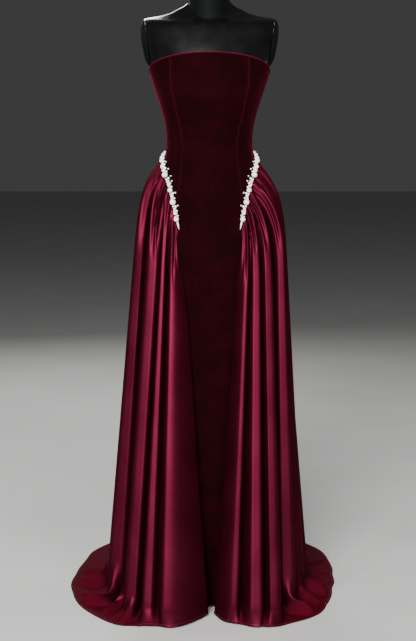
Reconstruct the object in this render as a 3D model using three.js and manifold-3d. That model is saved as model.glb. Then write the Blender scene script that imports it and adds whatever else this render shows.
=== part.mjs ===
// Strapless evening gown on a limbless dress form: a velvet bodice that runs on as a long centre front
// panel, and satin side skirts gathered into a dropped V seam that carries a string of pearls.
// Millimetres, +Z up, front towards -Y. The origin is the middle of the stand's underside, on the floor.
// Angles go round from the centre front (0) over the side (90) to the centre back (180).
import * as THREE from "three";
import { mergeVertices } from "three/addons/utils/BufferGeometryUtils.js";
import Module from "manifold-3d";

const wasm = await Module();
wasm.setup();

// Cloth and seams
const velvetWall = 2.0;
const satinWall = 1.2;
const seamGap = 0.3;
const curvedSeamGap = 0.6;
const velvetHemHeight = 6;
const frontHemHeight = 5;

// Neckline, a level cut tipped down towards the back
const necklineSideZ = 1321;
const necklineTip = 45;
const highestVelvetZ = 1370;
const lowestNecklineZ = 1250;
const highestSeamZ = 1200;
const backSeamAngle = 146;

// Bust shaping
const bust = { rise: 8, angle: 38, angleSpread: 28, z: 1288, zSpread: 62 };

// Satin side skirt
const hipDrop = 240;
const lobeColumns = 8;
const halfFoldColumns = 3;
const gatherDepth = 4.5;
const hipClearance = 3.5;
const leastFlatness = 0.65;
const ridgeHeel = 58;
const valleyHeel = 30;
const frontHeel = 45;
const backSeam = { hipRadius: 148, hemRadius: 270, edgeRadius: 604 };

// Zip in the centre back
const zip = { width: 3, wall: 1.4, topZ: 1272, sliderZ: 1260, lift: 0.5 };
const slider = { width: 7, lowWidth: 5, length: 10, depth: 3 };
const bail = { outer: 1.8, hole: 1.0, width: 1.6, lift: 1.5 };
const pull = { width: 5, length: 22, depth: 1, bar: 0.6, holeWidth: 2.8, holeDrop: 2.3 };

// Dress form and stand
const formInset = 3.2;
const armPlane = { x: 144, z: 1333, lean: 0.15 };
const armCap = { depth: 14, halfDepth: 40, halfHeight: 58, z: 1391, y: 2, bevel: 4 };
const neckTilt = { front: 0.88, back: 0.3 };
const neck = { topZ: 1545, radius: 50, y: 5 };
const base = { radius: 140, depth: 6 };
const poleRadius = 15;
const restGap = 0.3;
const formFootZ = 862;

// Velvet body at each height: half width at the side, depth to the front and to the back
const bodyRows = [
  { z: 0, half: 275, front: 146, back: 150 },
  { z: 500, half: 222, front: 127, back: 140 },
  { z: 935, half: 160, front: 107, back: 118 },
  { z: 1000, half: 152, front: 101, back: 112 },
  { z: 1060, half: 134, front: 93, back: 101 },
  { z: 1111, half: 112, front: 85, back: 86 },
  { z: 1147, half: 106, front: 82, back: 79 },
  { z: 1184, half: 108.5, front: 86, back: 78 },
  { z: 1230, half: 119.5, front: 96, back: 82 },
  { z: 1272, half: 133, front: 103.5, back: 87 },
  { z: 1321, half: 148, front: 103, back: 90 },
  { z: 1370, half: 158, front: 94, back: 86 },
];

// Seam between velvet and satin: its height at each angle, from the tip of the V to the centre back
const seamRows = [
  { angle: 29.6, z: 935 },
  { angle: 34.2, z: 977 },
  { angle: 37.3, z: 1001 },
  { angle: 42, z: 1025 },
  { angle: 52, z: 1056 },
  { angle: 62, z: 1074 },
  { angle: 75, z: 1091 },
  { angle: 90, z: 1104 },
  { angle: 108, z: 1118 },
  { angle: 130, z: 1120 },
  { angle: 155, z: 1105 },
  { angle: 180, z: 1082 },
];

// Half width of the centre front panel: the princess seam above the V, the free edge below its tip
const princessRows = [
  { z: 977, half: 88 },
  { z: 1039, half: 77 },
  { z: 1090, half: 70 },
  { z: 1140, half: 67 },
  { z: 1227, half: 80 },
  { z: 1290, half: 88 },
  { z: 1356, half: 93 },
  { z: 1370, half: 94 },
];
const panelEdgeRows = [
  { z: 0, half: 95 },
  { z: 500, half: 86 },
  { z: 935, half: 79 },
];

// Inner lip of each front lobe of satin, where it turns back under itself over the velvet:
// distance from the middle, and how far it stands in front of the velvet
const leftLipRows = [
  { z: 49, x: 5, proud: 90 },
  { z: 188, x: 15, proud: 78 },
  { z: 284, x: 23, proud: 66 },
  { z: 404, x: 31, proud: 52 },
  { z: 525, x: 39, proud: 39 },
  { z: 646, x: 47, proud: 28 },
  { z: 767, x: 56, proud: 18 },
  { z: 815, x: 64, proud: 16 },
  { z: 880, x: 76.5, proud: 12 },
  { z: 935, x: 82, proud: 6 },
];
const rightLipRows = [
  { z: 49, x: 14, proud: 86 },
  { z: 188, x: 24.5, proud: 74 },
  { z: 284, x: 31.5, proud: 63 },
  { z: 404, x: 41, proud: 50 },
  { z: 525, x: 49, proud: 38 },
  { z: 646, x: 56, proud: 27 },
  { z: 767, x: 63, proud: 17 },
  { z: 815, x: 65, proud: 15 },
  { z: 880, x: 76.5, proud: 12 },
  { z: 935, x: 82, proud: 6 },
];

// Satin folds from the front to the back. Each row is one ridge: where it leaves the seam (share of the
// seam's length), its angle and radius at the hip, above the floor and at the edge of the hem, and then
// the valley before it: its depth at hip and hem, its place between the two ridges, how far the ridge
// leans over it, and whether the hem hangs free (0) or lies on the floor (1)
const leftFolds = [
  { seam: 0.105, hip: 31.6, hipR: 164, hem: 15.5, hemR: 312, edge: 15.5, edgeR: 320,
    dip: 0, hemDip: 0, at: 0.5, over: 0, floor: 0 },
  { seam: 0.24, hip: 41, hipR: 172, hem: 27.5, hemR: 330, edge: 28, edgeR: 338,
    dip: 16, hemDip: 60, at: 0.75, over: 6, floor: 0 },
  { seam: 0.36, hip: 51, hipR: 183, hem: 45, hemR: 278, edge: 41.5, edgeR: 358,
    dip: 14, hemDip: 70, at: 0.4, over: 16, floor: 1 },
  { seam: 0.49, hip: 67, hipR: 197, hem: 83, hemR: 262, edge: 84, edgeR: 350,
    dip: 14, hemDip: 38, at: 0.5, over: 4, floor: 1 },
  { seam: 0.63, hip: 95, hipR: 199, hem: 104, hemR: 268, edge: 102, edgeR: 366,
    dip: 14, hemDip: 35, at: 0.5, over: 4, floor: 1 },
  { seam: 0.73, hip: 114, hipR: 190, hem: 121, hemR: 282, edge: 120, edgeR: 405,
    dip: 14, hemDip: 40, at: 0.45, over: 5, floor: 1 },
  { seam: 0.82, hip: 131, hipR: 178, hem: 137, hemR: 295, edge: 137, edgeR: 478,
    dip: 14, hemDip: 40, at: 0.55, over: 4, floor: 1 },
  { seam: 0.9, hip: 148, hipR: 168, hem: 152, hemR: 304, edge: 153, edgeR: 545,
    dip: 14, hemDip: 40, at: 0.5, over: 5, floor: 1 },
  { seam: 0.965, hip: 165, hipR: 162, hem: 167, hemR: 310, edge: 168, edgeR: 590,
    dip: 14, hemDip: 40, at: 0.5, over: 3, floor: 1 },
];
const rightFolds = [
  { seam: 0.075, hip: 31, hipR: 160, hem: 9.5, hemR: 264, edge: 9.5, edgeR: 272,
    dip: 0, hemDip: 0, at: 0.5, over: 0, floor: 0 },
  { seam: 0.15, hip: 40, hipR: 170, hem: 19.5, hemR: 315, edge: 20, edgeR: 322,
    dip: 16, hemDip: 42, at: 0.6, over: 0, floor: 0 },
  { seam: 0.22, hip: 50, hipR: 181, hem: 26, hemR: 334, edge: 26.5, edgeR: 338,
    dip: 8, hemDip: 25, at: 0.7, over: 4, floor: 0 },
  { seam: 0.34, hip: 65, hipR: 194, hem: 50, hemR: 253, edge: 51.5, edgeR: 334,
    dip: 20, hemDip: 60, at: 0.4, over: 10, floor: 1 },
  { seam: 0.48, hip: 86, hipR: 199, hem: 84, hemR: 240, edge: 80, edgeR: 316,
    dip: 6, hemDip: 12, at: 0.55, over: 4, floor: 1 },
  { seam: 0.64, hip: 104, hipR: 197, hem: 106, hemR: 262, edge: 103, edgeR: 338,
    dip: 14, hemDip: 40, at: 0.5, over: 4, floor: 1 },
  { seam: 0.73, hip: 121, hipR: 186, hem: 124, hemR: 282, edge: 120, edgeR: 385,
    dip: 14, hemDip: 40, at: 0.55, over: 5, floor: 1 },
  { seam: 0.82, hip: 138, hipR: 175, hem: 140, hemR: 296, edge: 139, edgeR: 476,
    dip: 14, hemDip: 40, at: 0.45, over: 4, floor: 1 },
  { seam: 0.9, hip: 153, hipR: 167, hem: 155, hemR: 305, edge: 154, edgeR: 540,
    dip: 14, hemDip: 40, at: 0.5, over: 5, floor: 1 },
  { seam: 0.965, hip: 168, hipR: 161, hem: 169, hemR: 310, edge: 168, edgeR: 588,
    dip: 14, hemDip: 40, at: 0.5, over: 3, floor: 1 },
];

// Pearls along the seam from the tip of the V: distance to the middle of each pearl, and its diameter
const pearlRows = [
  { along: 26, size: 13 },
  { along: 41, size: 10 },
  { along: 52, size: 7 },
  { along: 68, size: 14.7 },
  { along: 83, size: 7.5 },
  { along: 98, size: 12.6 },
  { along: 110, size: 8 },
  { along: 121, size: 8 },
  { along: 139, size: 14.7 },
  { along: 153, size: 10 },
  { along: 166, size: 11.7 },
  { along: 178, size: 7 },
  { along: 190, size: 11.7 },
  { along: 205, size: 11 },
  { along: 220, size: 10 },
  { along: 232, size: 8.5 },
  { along: 243, size: 7 },
];
const stickPearl = { length: 19, size: 6 };
const pearlInset = 6;
const pearlLift = 0.7;
const threadRadius = 1.1;
const pearlSides = 8;

// Outside of the dress form above the bodice's top, and below its waist
const shoulderRows = [
  { z: 1370, half: 160, front: 90, back: 84 },
  { z: 1400, half: 174, front: 80, back: 79 },
  { z: 1430, half: 180, front: 68, back: 72 },
  { z: 1443, half: 174, front: 61, back: 67 },
  { z: 1451, half: 158, front: 57, back: 64 },
  { z: 1457, half: 122, front: 54, back: 62 },
  { z: 1463, half: 99, front: 51, back: 60 },
  { z: 1471, half: 82, front: 49, back: 58 },
  { z: 1479, half: 65, front: 47, back: 56 },
  { z: 1486, half: 55, front: 46, back: 55 },
];
const formFootRows = [
  { z: formFootZ, half: 122, front: 76, back: 86 },
  { z: 872, half: 136, front: 89, back: 100 },
  { z: 890, half: 148, front: 99, back: 110 },
];

// Heights of the rows of points down the velvet and the satin
const bodiceShares = [0, 0.05, 0.11, 0.17, 0.24, 0.31, 0.39, 0.47, 0.54, 0.61, 0.69, 0.79, 0.89, 1];
const panelLevels = [956, 935, 850, 740, 620, 490, 360, 230, 110, velvetHemHeight];
const formLevels = [912, 935, 965, 1000, 1030, 1060, 1085, 1111, 1129, 1147, 1165, 1184, 1207, 1230,
  1251, 1272, 1296, 1321, 1345];
const upperShares = [0, 0.035, 0.09, 0.18, 0.32, 0.55, 1];
const lowerShares = [0.25, 0.5, 0.75, 1];
const floorShares = [0.2, 0.45, 0.72, 1];

const velvetMaterial = { color: 0x4a0a22, roughness: 0.85, metalness: 0 };
const satinMaterial = { color: 0x7d2746, roughness: 0.38, metalness: 0 };
const pearlMaterial = { color: 0xf1e9dc, roughness: 0.25, metalness: 0 };
const formMaterial = { color: 0x15161a, roughness: 0.22, metalness: 0 };
const neckMaterial = { color: 0x101113, roughness: 0.6, metalness: 0 };
const standMaterial = { color: 0x2a2a2c, roughness: 0.35, metalness: 0.8 };
const zipMaterial = { color: 0x3a0c1c, roughness: 0.4, metalness: 0.5 };

const degree = Math.PI / 180;
const quarter = Math.PI / 2;
const mix = THREE.MathUtils.lerp;
const clamp = THREE.MathUtils.clamp;

// A smooth curve through one column of a table, which never swings past the rows' values
function curve(rows, key, column) {
  const xs = rows.map((row) => row[key]);
  const ys = rows.map((row) => row[column]);
  const rises = xs.slice(1).map((x, i) => (ys[i + 1] - ys[i]) / (x - xs[i]));
  const slopes = ys.map((y, i) => {
    if (i === 0) return rises[0];
    if (i === ys.length - 1) return rises[i - 1];
    return rises[i - 1] * rises[i] <= 0 ? 0 : 2 / (1 / rises[i - 1] + 1 / rises[i]);
  });
  return (x) => {
    let i = 0;
    while (i < xs.length - 2 && x > xs[i + 1]) i += 1;
    const width = xs[i + 1] - xs[i];
    const t = clamp((x - xs[i]) / width, 0, 1);
    const rest = 1 - t;
    return ys[i] * (1 + 2 * t) * rest * rest + slopes[i] * width * t * rest * rest
      + ys[i + 1] * t * t * (3 - 2 * t) - slopes[i + 1] * width * t * t * rest;
  };
}

const bodyHalf = curve(bodyRows, "z", "half");
const bodyFront = curve(bodyRows, "z", "front");
const bodyBack = curve(bodyRows, "z", "back");
const seamHeight = curve(seamRows, "angle", "z");
const princessHalf = curve(princessRows, "z", "half");
const panelHalf = curve(panelEdgeRows, "z", "half");
const seamStart = seamRows[0].angle * degree;
const seamTipZ = seamRows[0].z;

// Outside of the velvet body at an angle and a height
function bodyPoint(angle, z) {
  const depth = Math.abs(angle) < quarter ? bodyFront(z) : bodyBack(z);
  const aside = (Math.abs(angle) / degree - bust.angle) / bust.angleSpread;
  const rise = bust.rise * Math.exp(-(aside ** 2) - ((z - bust.z) / bust.zSpread) ** 2);
  return new THREE.Vector3((bodyHalf(z) + rise) * Math.sin(angle), -(depth + rise) * Math.cos(angle), z);
}

function bodyNormal(angle, z) {
  const across = bodyPoint(angle + 0.01, z).sub(bodyPoint(angle - 0.01, z));
  const down = bodyPoint(angle, z - 1).sub(bodyPoint(angle, z + 1));
  return down.cross(across).normalize();
}

// The change of angle that moves a point this far round the body
function angleFor(distance, angle, z) {
  const reach = bodyPoint(angle + 0.005, z).distanceTo(bodyPoint(angle - 0.005, z)) / 0.01;
  return distance / reach;
}

const seamZ = (angle) => seamHeight(angle / degree);

// How far the seam's edge moves up or down so that its gap is even where the seam is steep
function seamShift(angle) {
  const ahead = Math.min(angle + 0.01, Math.PI);
  const behind = Math.max(angle - 0.01, seamStart);
  const run = bodyPoint(ahead, seamZ(angle)).distanceTo(bodyPoint(behind, seamZ(angle)));
  return curvedSeamGap / 2 * Math.hypot(1, (seamZ(ahead) - seamZ(behind)) / run);
}

// The angle at which the front of the seam has this height
function seamAngle(z) {
  let low = seamStart;
  let high = quarter;
  for (let i = 0; i < 40; i += 1) {
    const middle = (low + high) / 2;
    if (seamZ(middle) < z) low = middle;
    else high = middle;
  }
  return (low + high) / 2;
}

// Edge of the centre front panel: princess seam, then the V seam, then the free edge under the satin
function panelAngle(z) {
  if (z <= seamTipZ) return Math.asin(panelHalf(z) / bodyHalf(z));
  const princess = Math.asin(princessHalf(z) / bodyPoint(quarter, z).x);
  return z > seamZ(quarter) ? princess : Math.min(princess, seamAngle(z));
}

const necklineZ = (angle) => necklineSideZ + necklineTip * Math.cos(angle);

// Directions of the outside at the points of a grid of rows, longer in a sharp bend so that the wall
// keeps its thickness there
function gridNormals(grid, side) {
  const nothing = () => ({ weighted: new THREE.Vector3(), even: new THREE.Vector3(), count: 0 });
  const sums = grid.map((row) => row.map(nothing));
  for (let i = 0; i + 1 < grid.length; i += 1) {
    for (let j = 0; j + 1 < grid[i].length; j += 1) {
      const corners = [[i, j], [i + 1, j], [i + 1, j + 1], [i, j + 1]];
      const down = grid[i + 1][j + 1].clone().sub(grid[i][j]);
      const across = grid[i][j + 1].clone().sub(grid[i + 1][j]);
      const facing = down.cross(across).multiplyScalar(side);
      const unit = facing.clone().normalize();
      for (const [r, c] of corners) {
        sums[r][c].weighted.add(facing);
        sums[r][c].even.add(unit);
        sums[r][c].count += 1;
      }
    }
  }
  return sums.map((row) => row.map(({ weighted, even, count }) => {
    const flatness = clamp(even.length() / count, leastFlatness, 1);
    return weighted.normalize().divideScalar(flatness);
  }));
}

function geometryOf(points, faces) {
  const geometry = new THREE.BufferGeometry();
  geometry.setAttribute("position", new THREE.Float32BufferAttribute(points.flatMap((p) => p.toArray()), 3));
  geometry.setIndex(faces.flat());
  return geometry;
}

// A closed cloth wall from its outer and inner grids of points, with a rim all round
function wallGeometry(outer, inner, side) {
  const wide = outer[0].length;
  const count = outer.length * wide;
  const points = [...outer.flat(), ...inner.flat()];
  const faces = [];
  for (let i = 0; i + 1 < outer.length; i += 1) {
    for (let j = 0; j + 1 < wide; j += 1) {
      const a = i * wide + j;
      const [b, c, d] = [a + 1, a + wide, a + wide + 1];
      const long = points[a].distanceTo(points[d]) > points[b].distanceTo(points[c]);
      const pair = long ? [[a, c, b], [b, c, d]] : [[a, c, d], [a, d, b]];
      for (const face of pair) faces.push(side > 0 ? face : [face[0], face[2], face[1]]);
    }
  }
  const edges = new Map();
  for (const [a, b, c] of faces) {
    for (const [from, to] of [[a, b], [b, c], [c, a]]) {
      if (!edges.delete(`${to} ${from}`)) edges.set(`${from} ${to}`, [from, to]);
    }
  }
  const inside = faces.map(([a, b, c]) => [a + count, c + count, b + count]);
  const rims = [...edges.values()].flatMap(([a, b]) => [[b, a, a + count], [b, a + count, b + count]]);
  return geometryOf(points, [...faces, ...inside, ...rims]);
}

// A closed solid through level or tipped rings of points, from the lowest ring to the highest
function loftGeometry(rings) {
  const wide = rings[0].length;
  const points = rings.flat();
  const faces = [];
  for (let i = 0; i + 1 < rings.length; i += 1) {
    for (let j = 0; j < wide; j += 1) {
      const [a, b] = [i * wide + j, i * wide + (j + 1) % wide];
      faces.push([a, b, b + wide], [a, b + wide, a + wide]);
    }
  }
  const middle = (ring) => ring.reduce((sum, p) => sum.add(p), new THREE.Vector3()).divideScalar(wide);
  const top = (rings.length - 1) * wide;
  const low = points.push(middle(rings[0])) - 1;
  const high = points.push(middle(rings[rings.length - 1])) - 1;
  for (let j = 0; j < wide; j += 1) {
    const next = (j + 1) % wide;
    faces.push([low, next, j], [high, top + j, top + next]);
  }
  return geometryOf(points, faces);
}

function solidOf(geometry) {
  const plain = geometry.clone();
  plain.deleteAttribute("normal");
  plain.deleteAttribute("uv");
  const merged = mergeVertices(plain, 1e-4);
  return new wasm.Manifold(new wasm.Mesh({
    numProp: 3,
    vertProperties: new Float32Array(merged.attributes.position.array),
    triVerts: new Uint32Array(merged.index.array),
  }));
}

function geometryFrom(solid) {
  const mesh = solid.getMesh();
  const geometry = new THREE.BufferGeometry();
  geometry.setAttribute("position", new THREE.BufferAttribute(mesh.vertProperties, 3));
  geometry.setIndex(new THREE.BufferAttribute(mesh.triVerts, 1));
  return geometry;
}

function named(name, geometry, look) {
  const mesh = new THREE.Mesh(geometry, new THREE.MeshStandardMaterial(look));
  mesh.name = name;
  return mesh;
}

const sideName = (side) => (side < 0 ? "left" : "right");

// A velvet panel: points at even steps between two edges, and in rows between its top and its bottom.
// side is -1 for the left half, 1 for the right half and for a panel across the middle
function velvetPanel(name, side, steps, angleAt, topAt, bottomAt, levels = []) {
  const outer = [];
  const inner = [];
  const edgeShift = (step, angle, z) => {
    if (step > 0 && step < steps) return 0;
    return angleFor(seamGap / 2, angle, z) * (step === 0 ? 1 : -1);
  };
  const heights = [
    ...bodiceShares.map((share) => (across) => mix(topAt(across), bottomAt(across), share)),
    ...levels.map((level) => () => level),
  ];
  for (const heightAt of heights) {
    const outerRow = [];
    const innerRow = [];
    for (let step = 0; step <= steps; step += 1) {
      const z = heightAt(step / steps);
      const place = angleAt(step / steps, z);
      const angle = place + edgeShift(step, place, z);
      const point = bodyPoint(angle, z);
      const back = point.clone().addScaledVector(bodyNormal(angle, z), -velvetWall);
      back.z = z;
      for (const p of [point, back]) p.x *= side;
      outerRow.push(point);
      innerRow.push(back);
    }
    outer.push(outerRow);
    inner.push(innerRow);
  }
  return named(name, wallGeometry(outer, inner, side), velvetMaterial);
}

// The height at which a line down the panel reaches a level that depends on the angle
function meetHeight(angleAt, levelAt, low, high) {
  let [under, over] = [low, high];
  for (let i = 0; i < 40; i += 1) {
    const z = (under + over) / 2;
    if (z < levelAt(angleAt(z))) under = z;
    else over = z;
  }
  return (under + over) / 2;
}

// Height of the velvet's edge at the seam with the satin
const seamTop = (angle) => seamZ(Math.max(angle, seamStart)) + seamShift(Math.max(angle, seamStart));

function centreFrontPanel() {
  const angleAt = (across, z) => (2 * across - 1) * panelAngle(z);
  const topAt = (across) => meetHeight((z) => angleAt(across, z), necklineZ, necklineSideZ, highestVelvetZ);
  const joinZ = meetHeight(panelAngle, seamTop, seamTipZ, highestSeamZ);
  return velvetPanel("centre_front_panel", 1, 14, angleAt, topAt, () => joinZ, panelLevels);
}

// A bodice panel between two edges, from the neckline down to the seam with the satin
function bodicePanel(name, side, steps, startAt, endAt) {
  const angleAt = (across, z) => mix(startAt(z), endAt(z), across);
  const topAt = (across) =>
    meetHeight((z) => angleAt(across, z), necklineZ, lowestNecklineZ, highestVelvetZ);
  const bottomAt = (across) => meetHeight((z) => angleAt(across, z), seamTop, seamTipZ, highestSeamZ);
  return velvetPanel(name, side, steps, angleAt, topAt, bottomAt);
}

function bodice(side) {
  const zipEdge = (z) => Math.PI - angleFor(zip.width / 2 + seamGap / 2, Math.PI, z);
  const sideSeam = () => quarter;
  const backPanelSeam = () => backSeamAngle * degree;
  const name = sideName(side);
  return [
    bodicePanel(`side_front_${name}`, side, 10, panelAngle, sideSeam),
    bodicePanel(`side_back_${name}`, side, 7, sideSeam, backPanelSeam),
    bodicePanel(`centre_back_${name}`, side, 5, backPanelSeam, zipEdge),
  ];
}

// Angle of the seam at each share of its length from the tip of the V
function seamAngles() {
  const rows = [{ share: 0, angle: seamStart }];
  let length = 0;
  let last = bodyPoint(seamStart, seamTipZ);
  for (let angle = seamStart + degree; angle < Math.PI + 0.5 * degree; angle += degree) {
    const end = Math.min(angle, Math.PI);
    const point = bodyPoint(end, seamZ(end));
    length += point.distanceTo(last);
    last = point;
    rows.push({ share: length, angle: end });
  }
  for (const row of rows) row.share /= length;
  return { at: curve(rows, "share", "angle"), length };
}
const seam = seamAngles();

const polar = (angle, radius) => new THREE.Vector2(radius * Math.sin(angle), -radius * Math.cos(angle));

// Rounds a valley narrowly and a ridge broadly: 0 in the valley, 1 on the ridge
const crest = (t) => (1 - Math.cos(Math.PI * t ** 0.75)) / 2;

// One line of points down the satin, some way from one ridge to the next
function fallLine(before, after, across) {
  const t = across <= after.at ? 1 - across / after.at : (across - after.at) / (1 - after.at);
  const height = crest(t);
  const between = (key) => mix(before[key], after[key], across);
  const train = clamp((between("edgeR") - between("hemR")) / 40, 0, 1) * between("floor");
  return {
    seam: between("seam"),
    hip: between("hip") * degree,
    hipR: between("hipR") - after.dip * (1 - height),
    hem: between("hem") * degree,
    hemR: between("hemR") - after.hemDip * (1 - height),
    edge: between("edge") * degree,
    edgeR: between("edgeR") - after.hemDip * 0.35 * (1 - height) * (1 - train * 0.6),
    lean: after.over * Math.sin(Math.PI * across),
    gather: Math.cos(4 * Math.PI * across),
    heel: mix(frontHeel, mix(valleyHeel, ridgeHeel, height), train),
    endZ: mix(frontHemHeight, satinWall, between("floor") > 0 ? 1 : 0),
    drop: mix(1, mix(3.5, 2.2, height), train),
  };
}

// How far the hips reach at this height in the direction of a point of the plan
function hipReach(plan, z) {
  const depth = plan.y < 0 ? bodyFront(z) : bodyBack(z);
  return plan.length() / Math.hypot(plan.x / bodyHalf(z), plan.y / depth);
}

function clearOfHips(plan, z, clearance) {
  const least = hipReach(plan, z) + clearance;
  return plan.length() < least ? plan.setLength(least) : plan;
}

// The plan of a fall line at a height below its hip point, and carried on straight above it
function fallPlan(line, z, seamTop) {
  const hipZ = seamTop - hipDrop;
  const share = (hipZ - z) / (hipZ - line.heel);
  const plan = polar(line.hip, line.hipR).lerp(polar(line.hem, line.hemR), share);
  const leaning = line.lean * Math.max(0, (seamTop - z) / seamTop) ** 1.4;
  return plan.addScaledVector(new THREE.Vector2(Math.cos(line.hem), Math.sin(line.hem)), -leaning);
}

function lipPlan(lip, z) {
  const x = lip.x(z);
  const front = -bodyFront(z) * Math.sqrt(1 - (x / bodyHalf(z)) ** 2);
  return new THREE.Vector2(x, front - lip.proud(z));
}

// The front lobe in plan: from the velvet's edge through the lip and round to the first ridge
const lipShare = 0.45;
function lobePlan(across, z, lip, ridge) {
  const start = bodyPoint(panelAngle(Math.min(z, seamTipZ)), Math.min(z, seamTipZ));
  const rest = 1 - lipShare;
  const bend = lipPlan(lip, z)
    .sub(new THREE.Vector2(start.x, start.y).multiplyScalar(rest * rest))
    .addScaledVector(ridge, -lipShare * lipShare)
    .divideScalar(2 * lipShare * rest);
  return new THREE.Vector2(start.x, start.y).multiplyScalar((1 - across) ** 2)
    .addScaledVector(bend, 2 * across * (1 - across))
    .addScaledVector(ridge, across * across);
}

// Every fall line of one side skirt, from the free front edge to the centre back
function fallLines(folds) {
  const lines = [];
  for (let i = 0; i < lobeColumns; i += 1) {
    const across = i / lobeColumns;
    const seam = folds[0].seam * across;
    lines.push({ ...fallLine(folds[0], folds[0], 1), lobe: across, seam, gather: 0 });
  }
  const columns = 2 * halfFoldColumns;
  for (let fold = 1; fold < folds.length; fold += 1) {
    const [before, after] = [folds[fold - 1], folds[fold]];
    for (let i = 0; i < columns; i += 1) lines.push(fallLine(before, after, shareOf(i, after.at)));
  }
  const end = {
    seam: 1, hip: 180, hipR: backSeam.hipRadius, hem: 180, hemR: backSeam.hemRadius,
    edge: 180, edgeR: backSeam.edgeRadius, dip: 0, hemDip: 0, at: 1, over: 0, floor: 1,
  };
  for (let i = 0; i <= halfFoldColumns; i += 1) {
    lines.push(fallLine(folds[folds.length - 1], end, i / halfFoldColumns));
  }
  lines[lines.length - 1].gather = 0;
  return lines;
}

// Columns are spread evenly on each side of the valley
function shareOf(i, at) {
  return i < halfFoldColumns
    ? at * i / halfFoldColumns
    : at + (1 - at) * (i - halfFoldColumns) / halfFoldColumns;
}

// The grid of outside points of one side skirt, mirrored to its side
function satinGrid(side, folds, lipRows) {
  const lip = { x: curve(lipRows, "z", "x"), proud: curve(lipRows, "z", "proud") };
  const lines = fallLines(folds);
  const ridge = lines[lobeColumns];
  const rows = upperShares.length + lowerShares.length + floorShares.length;
  const grid = Array.from({ length: rows }, () => []);
  for (const line of lines) {
    const first = line.lobe === 0;
    const angle = seam.at(line.seam);
    const seamTop = seamZ(angle);
    const startZ = first ? seamTop : seamTop - seamShift(angle);
    const start = bodyPoint(angle, startZ);
    const ridgeTop = seamZ(seam.at(ridge.seam));
    const plan = (z) => {
      if (line.lobe === undefined) return fallPlan(line, z, seamTop);
      return lobePlan(line.lobe, z, lip, fallPlan(ridge, z, ridgeTop));
    };
    const onHips = (z) => {
      const here = new THREE.Vector2(start.x, start.y);
      if (line.lobe !== undefined && z < seamTipZ) {
        const [edge, tip] = [z, seamTipZ].map((level) => bodyPoint(panelAngle(level), level));
        const turn = Math.atan2(edge.x, -edge.y) - Math.atan2(tip.x, -tip.y);
        here.rotateAround(new THREE.Vector2(), turn * (1 - line.lobe));
      }
      return here.setLength(hipReach(here, z));
    };
    const column = [];
    for (const share of upperShares) {
      const z = startZ - hipDrop * share;
      const swing = 1 - (1 - share) ** 3;
      const point = onHips(z).lerp(plan(z), swing);
      const fade = Math.min(1, share / 0.12) * (1 - share) ** 2;
      point.multiplyScalar(1 + line.gather * gatherDepth * fade / point.length());
      clearOfHips(point, z, hipClearance * Math.min(1, share / 0.1) * (line.lobe ?? 1));
      column.push(new THREE.Vector3(point.x, point.y, z));
    }
    const hipZ = startZ - hipDrop;
    for (const share of lowerShares) {
      const z = mix(hipZ, line.heel, share);
      const point = plan(z);
      column.push(new THREE.Vector3(point.x, point.y, z));
    }
    for (const share of floorShares) {
      const z = line.endZ + (line.heel - line.endZ) * (1 - share) ** line.drop;
      const spread = share ** 1.6;
      const point = line.lobe === undefined
        ? plan(line.heel).lerp(polar(line.edge, line.edgeR), spread)
        : plan(z).multiplyScalar(1 + line.lobe * spread * (line.edgeR / line.hemR - 1));
      column.push(new THREE.Vector3(point.x, point.y, z));
    }
    column.forEach((point, i) => {
      if (first) point.x += curvedSeamGap / 2;
      grid[i].push(point);
    });
  }
  const last = lines.length - 1;
  for (const row of grid) row[last].x = seamGap / 2;
  for (const point of grid.flat()) point.x *= side;
  return grid;
}

// Front and back satin panels of one side, parted at the valley nearest the side
function satinPanels(side, folds, lipRows, sideFold) {
  const grid = satinGrid(side, folds, lipRows);
  const normals = gridNormals(grid, side);
  const last = grid[0].length - 1;
  for (const row of normals) row[last].setX(0);
  grid[0].forEach((point, j) => {
    const angle = Math.atan2(Math.abs(point.x) / bodyHalf(point.z), -point.y / bodyFront(point.z));
    normals[0][j] = bodyNormal(angle, point.z);
    normals[0][j].x *= side;
  });
  const inner = grid.map((row, i) => row.map((point, j) => {
    const under = point.clone().addScaledVector(normals[i][j], -satinWall);
    under.z = Math.max(0, under.z);
    return under;
  }));
  const split = lobeColumns + (sideFold - 1) * 2 * halfFoldColumns + halfFoldColumns;
  const cut = (rows, from, to) => rows.map((row) => row.slice(from, to + 1).map((point) => point.clone()));
  const part = (name, from, to) => {
    const [outerPart, innerPart] = [cut(grid, from, to), cut(inner, from, to)];
    grid.forEach((row, i) => {
      const across = row[split + 1].clone().sub(row[split - 1]).normalize().multiplyScalar(seamGap / 2);
      const at = from === split ? 0 : to - from;
      const sign = from === split ? 1 : -1;
      outerPart[i][at].addScaledVector(across, sign);
      innerPart[i][at].addScaledVector(across, sign);
    });
    return named(`${name}_${sideName(side)}`, wallGeometry(outerPart, innerPart, side), satinMaterial);
  };
  return [part("satin_front", 0, split), part("satin_back", split, last)];
}

// The string of pearls: a thread that swells into each pearl, lying on the velvet above the seam
function pearlRadius(along) {
  const stick = clamp(along / stickPearl.length, 0, 1);
  const stickRadius = stickPearl.size / 2 * Math.sin(Math.PI * stick) ** 0.5;
  let radius = stick < 1 ? Math.max(threadRadius, stickRadius) : 0;
  for (const pearl of pearlRows) {
    const away = Math.abs(along - pearl.along) / (pearl.size / 2);
    if (away < 1) radius = Math.max(radius, pearl.size / 2 * Math.sqrt(1 - away * away));
  }
  return Math.max(radius, threadRadius);
}

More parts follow.
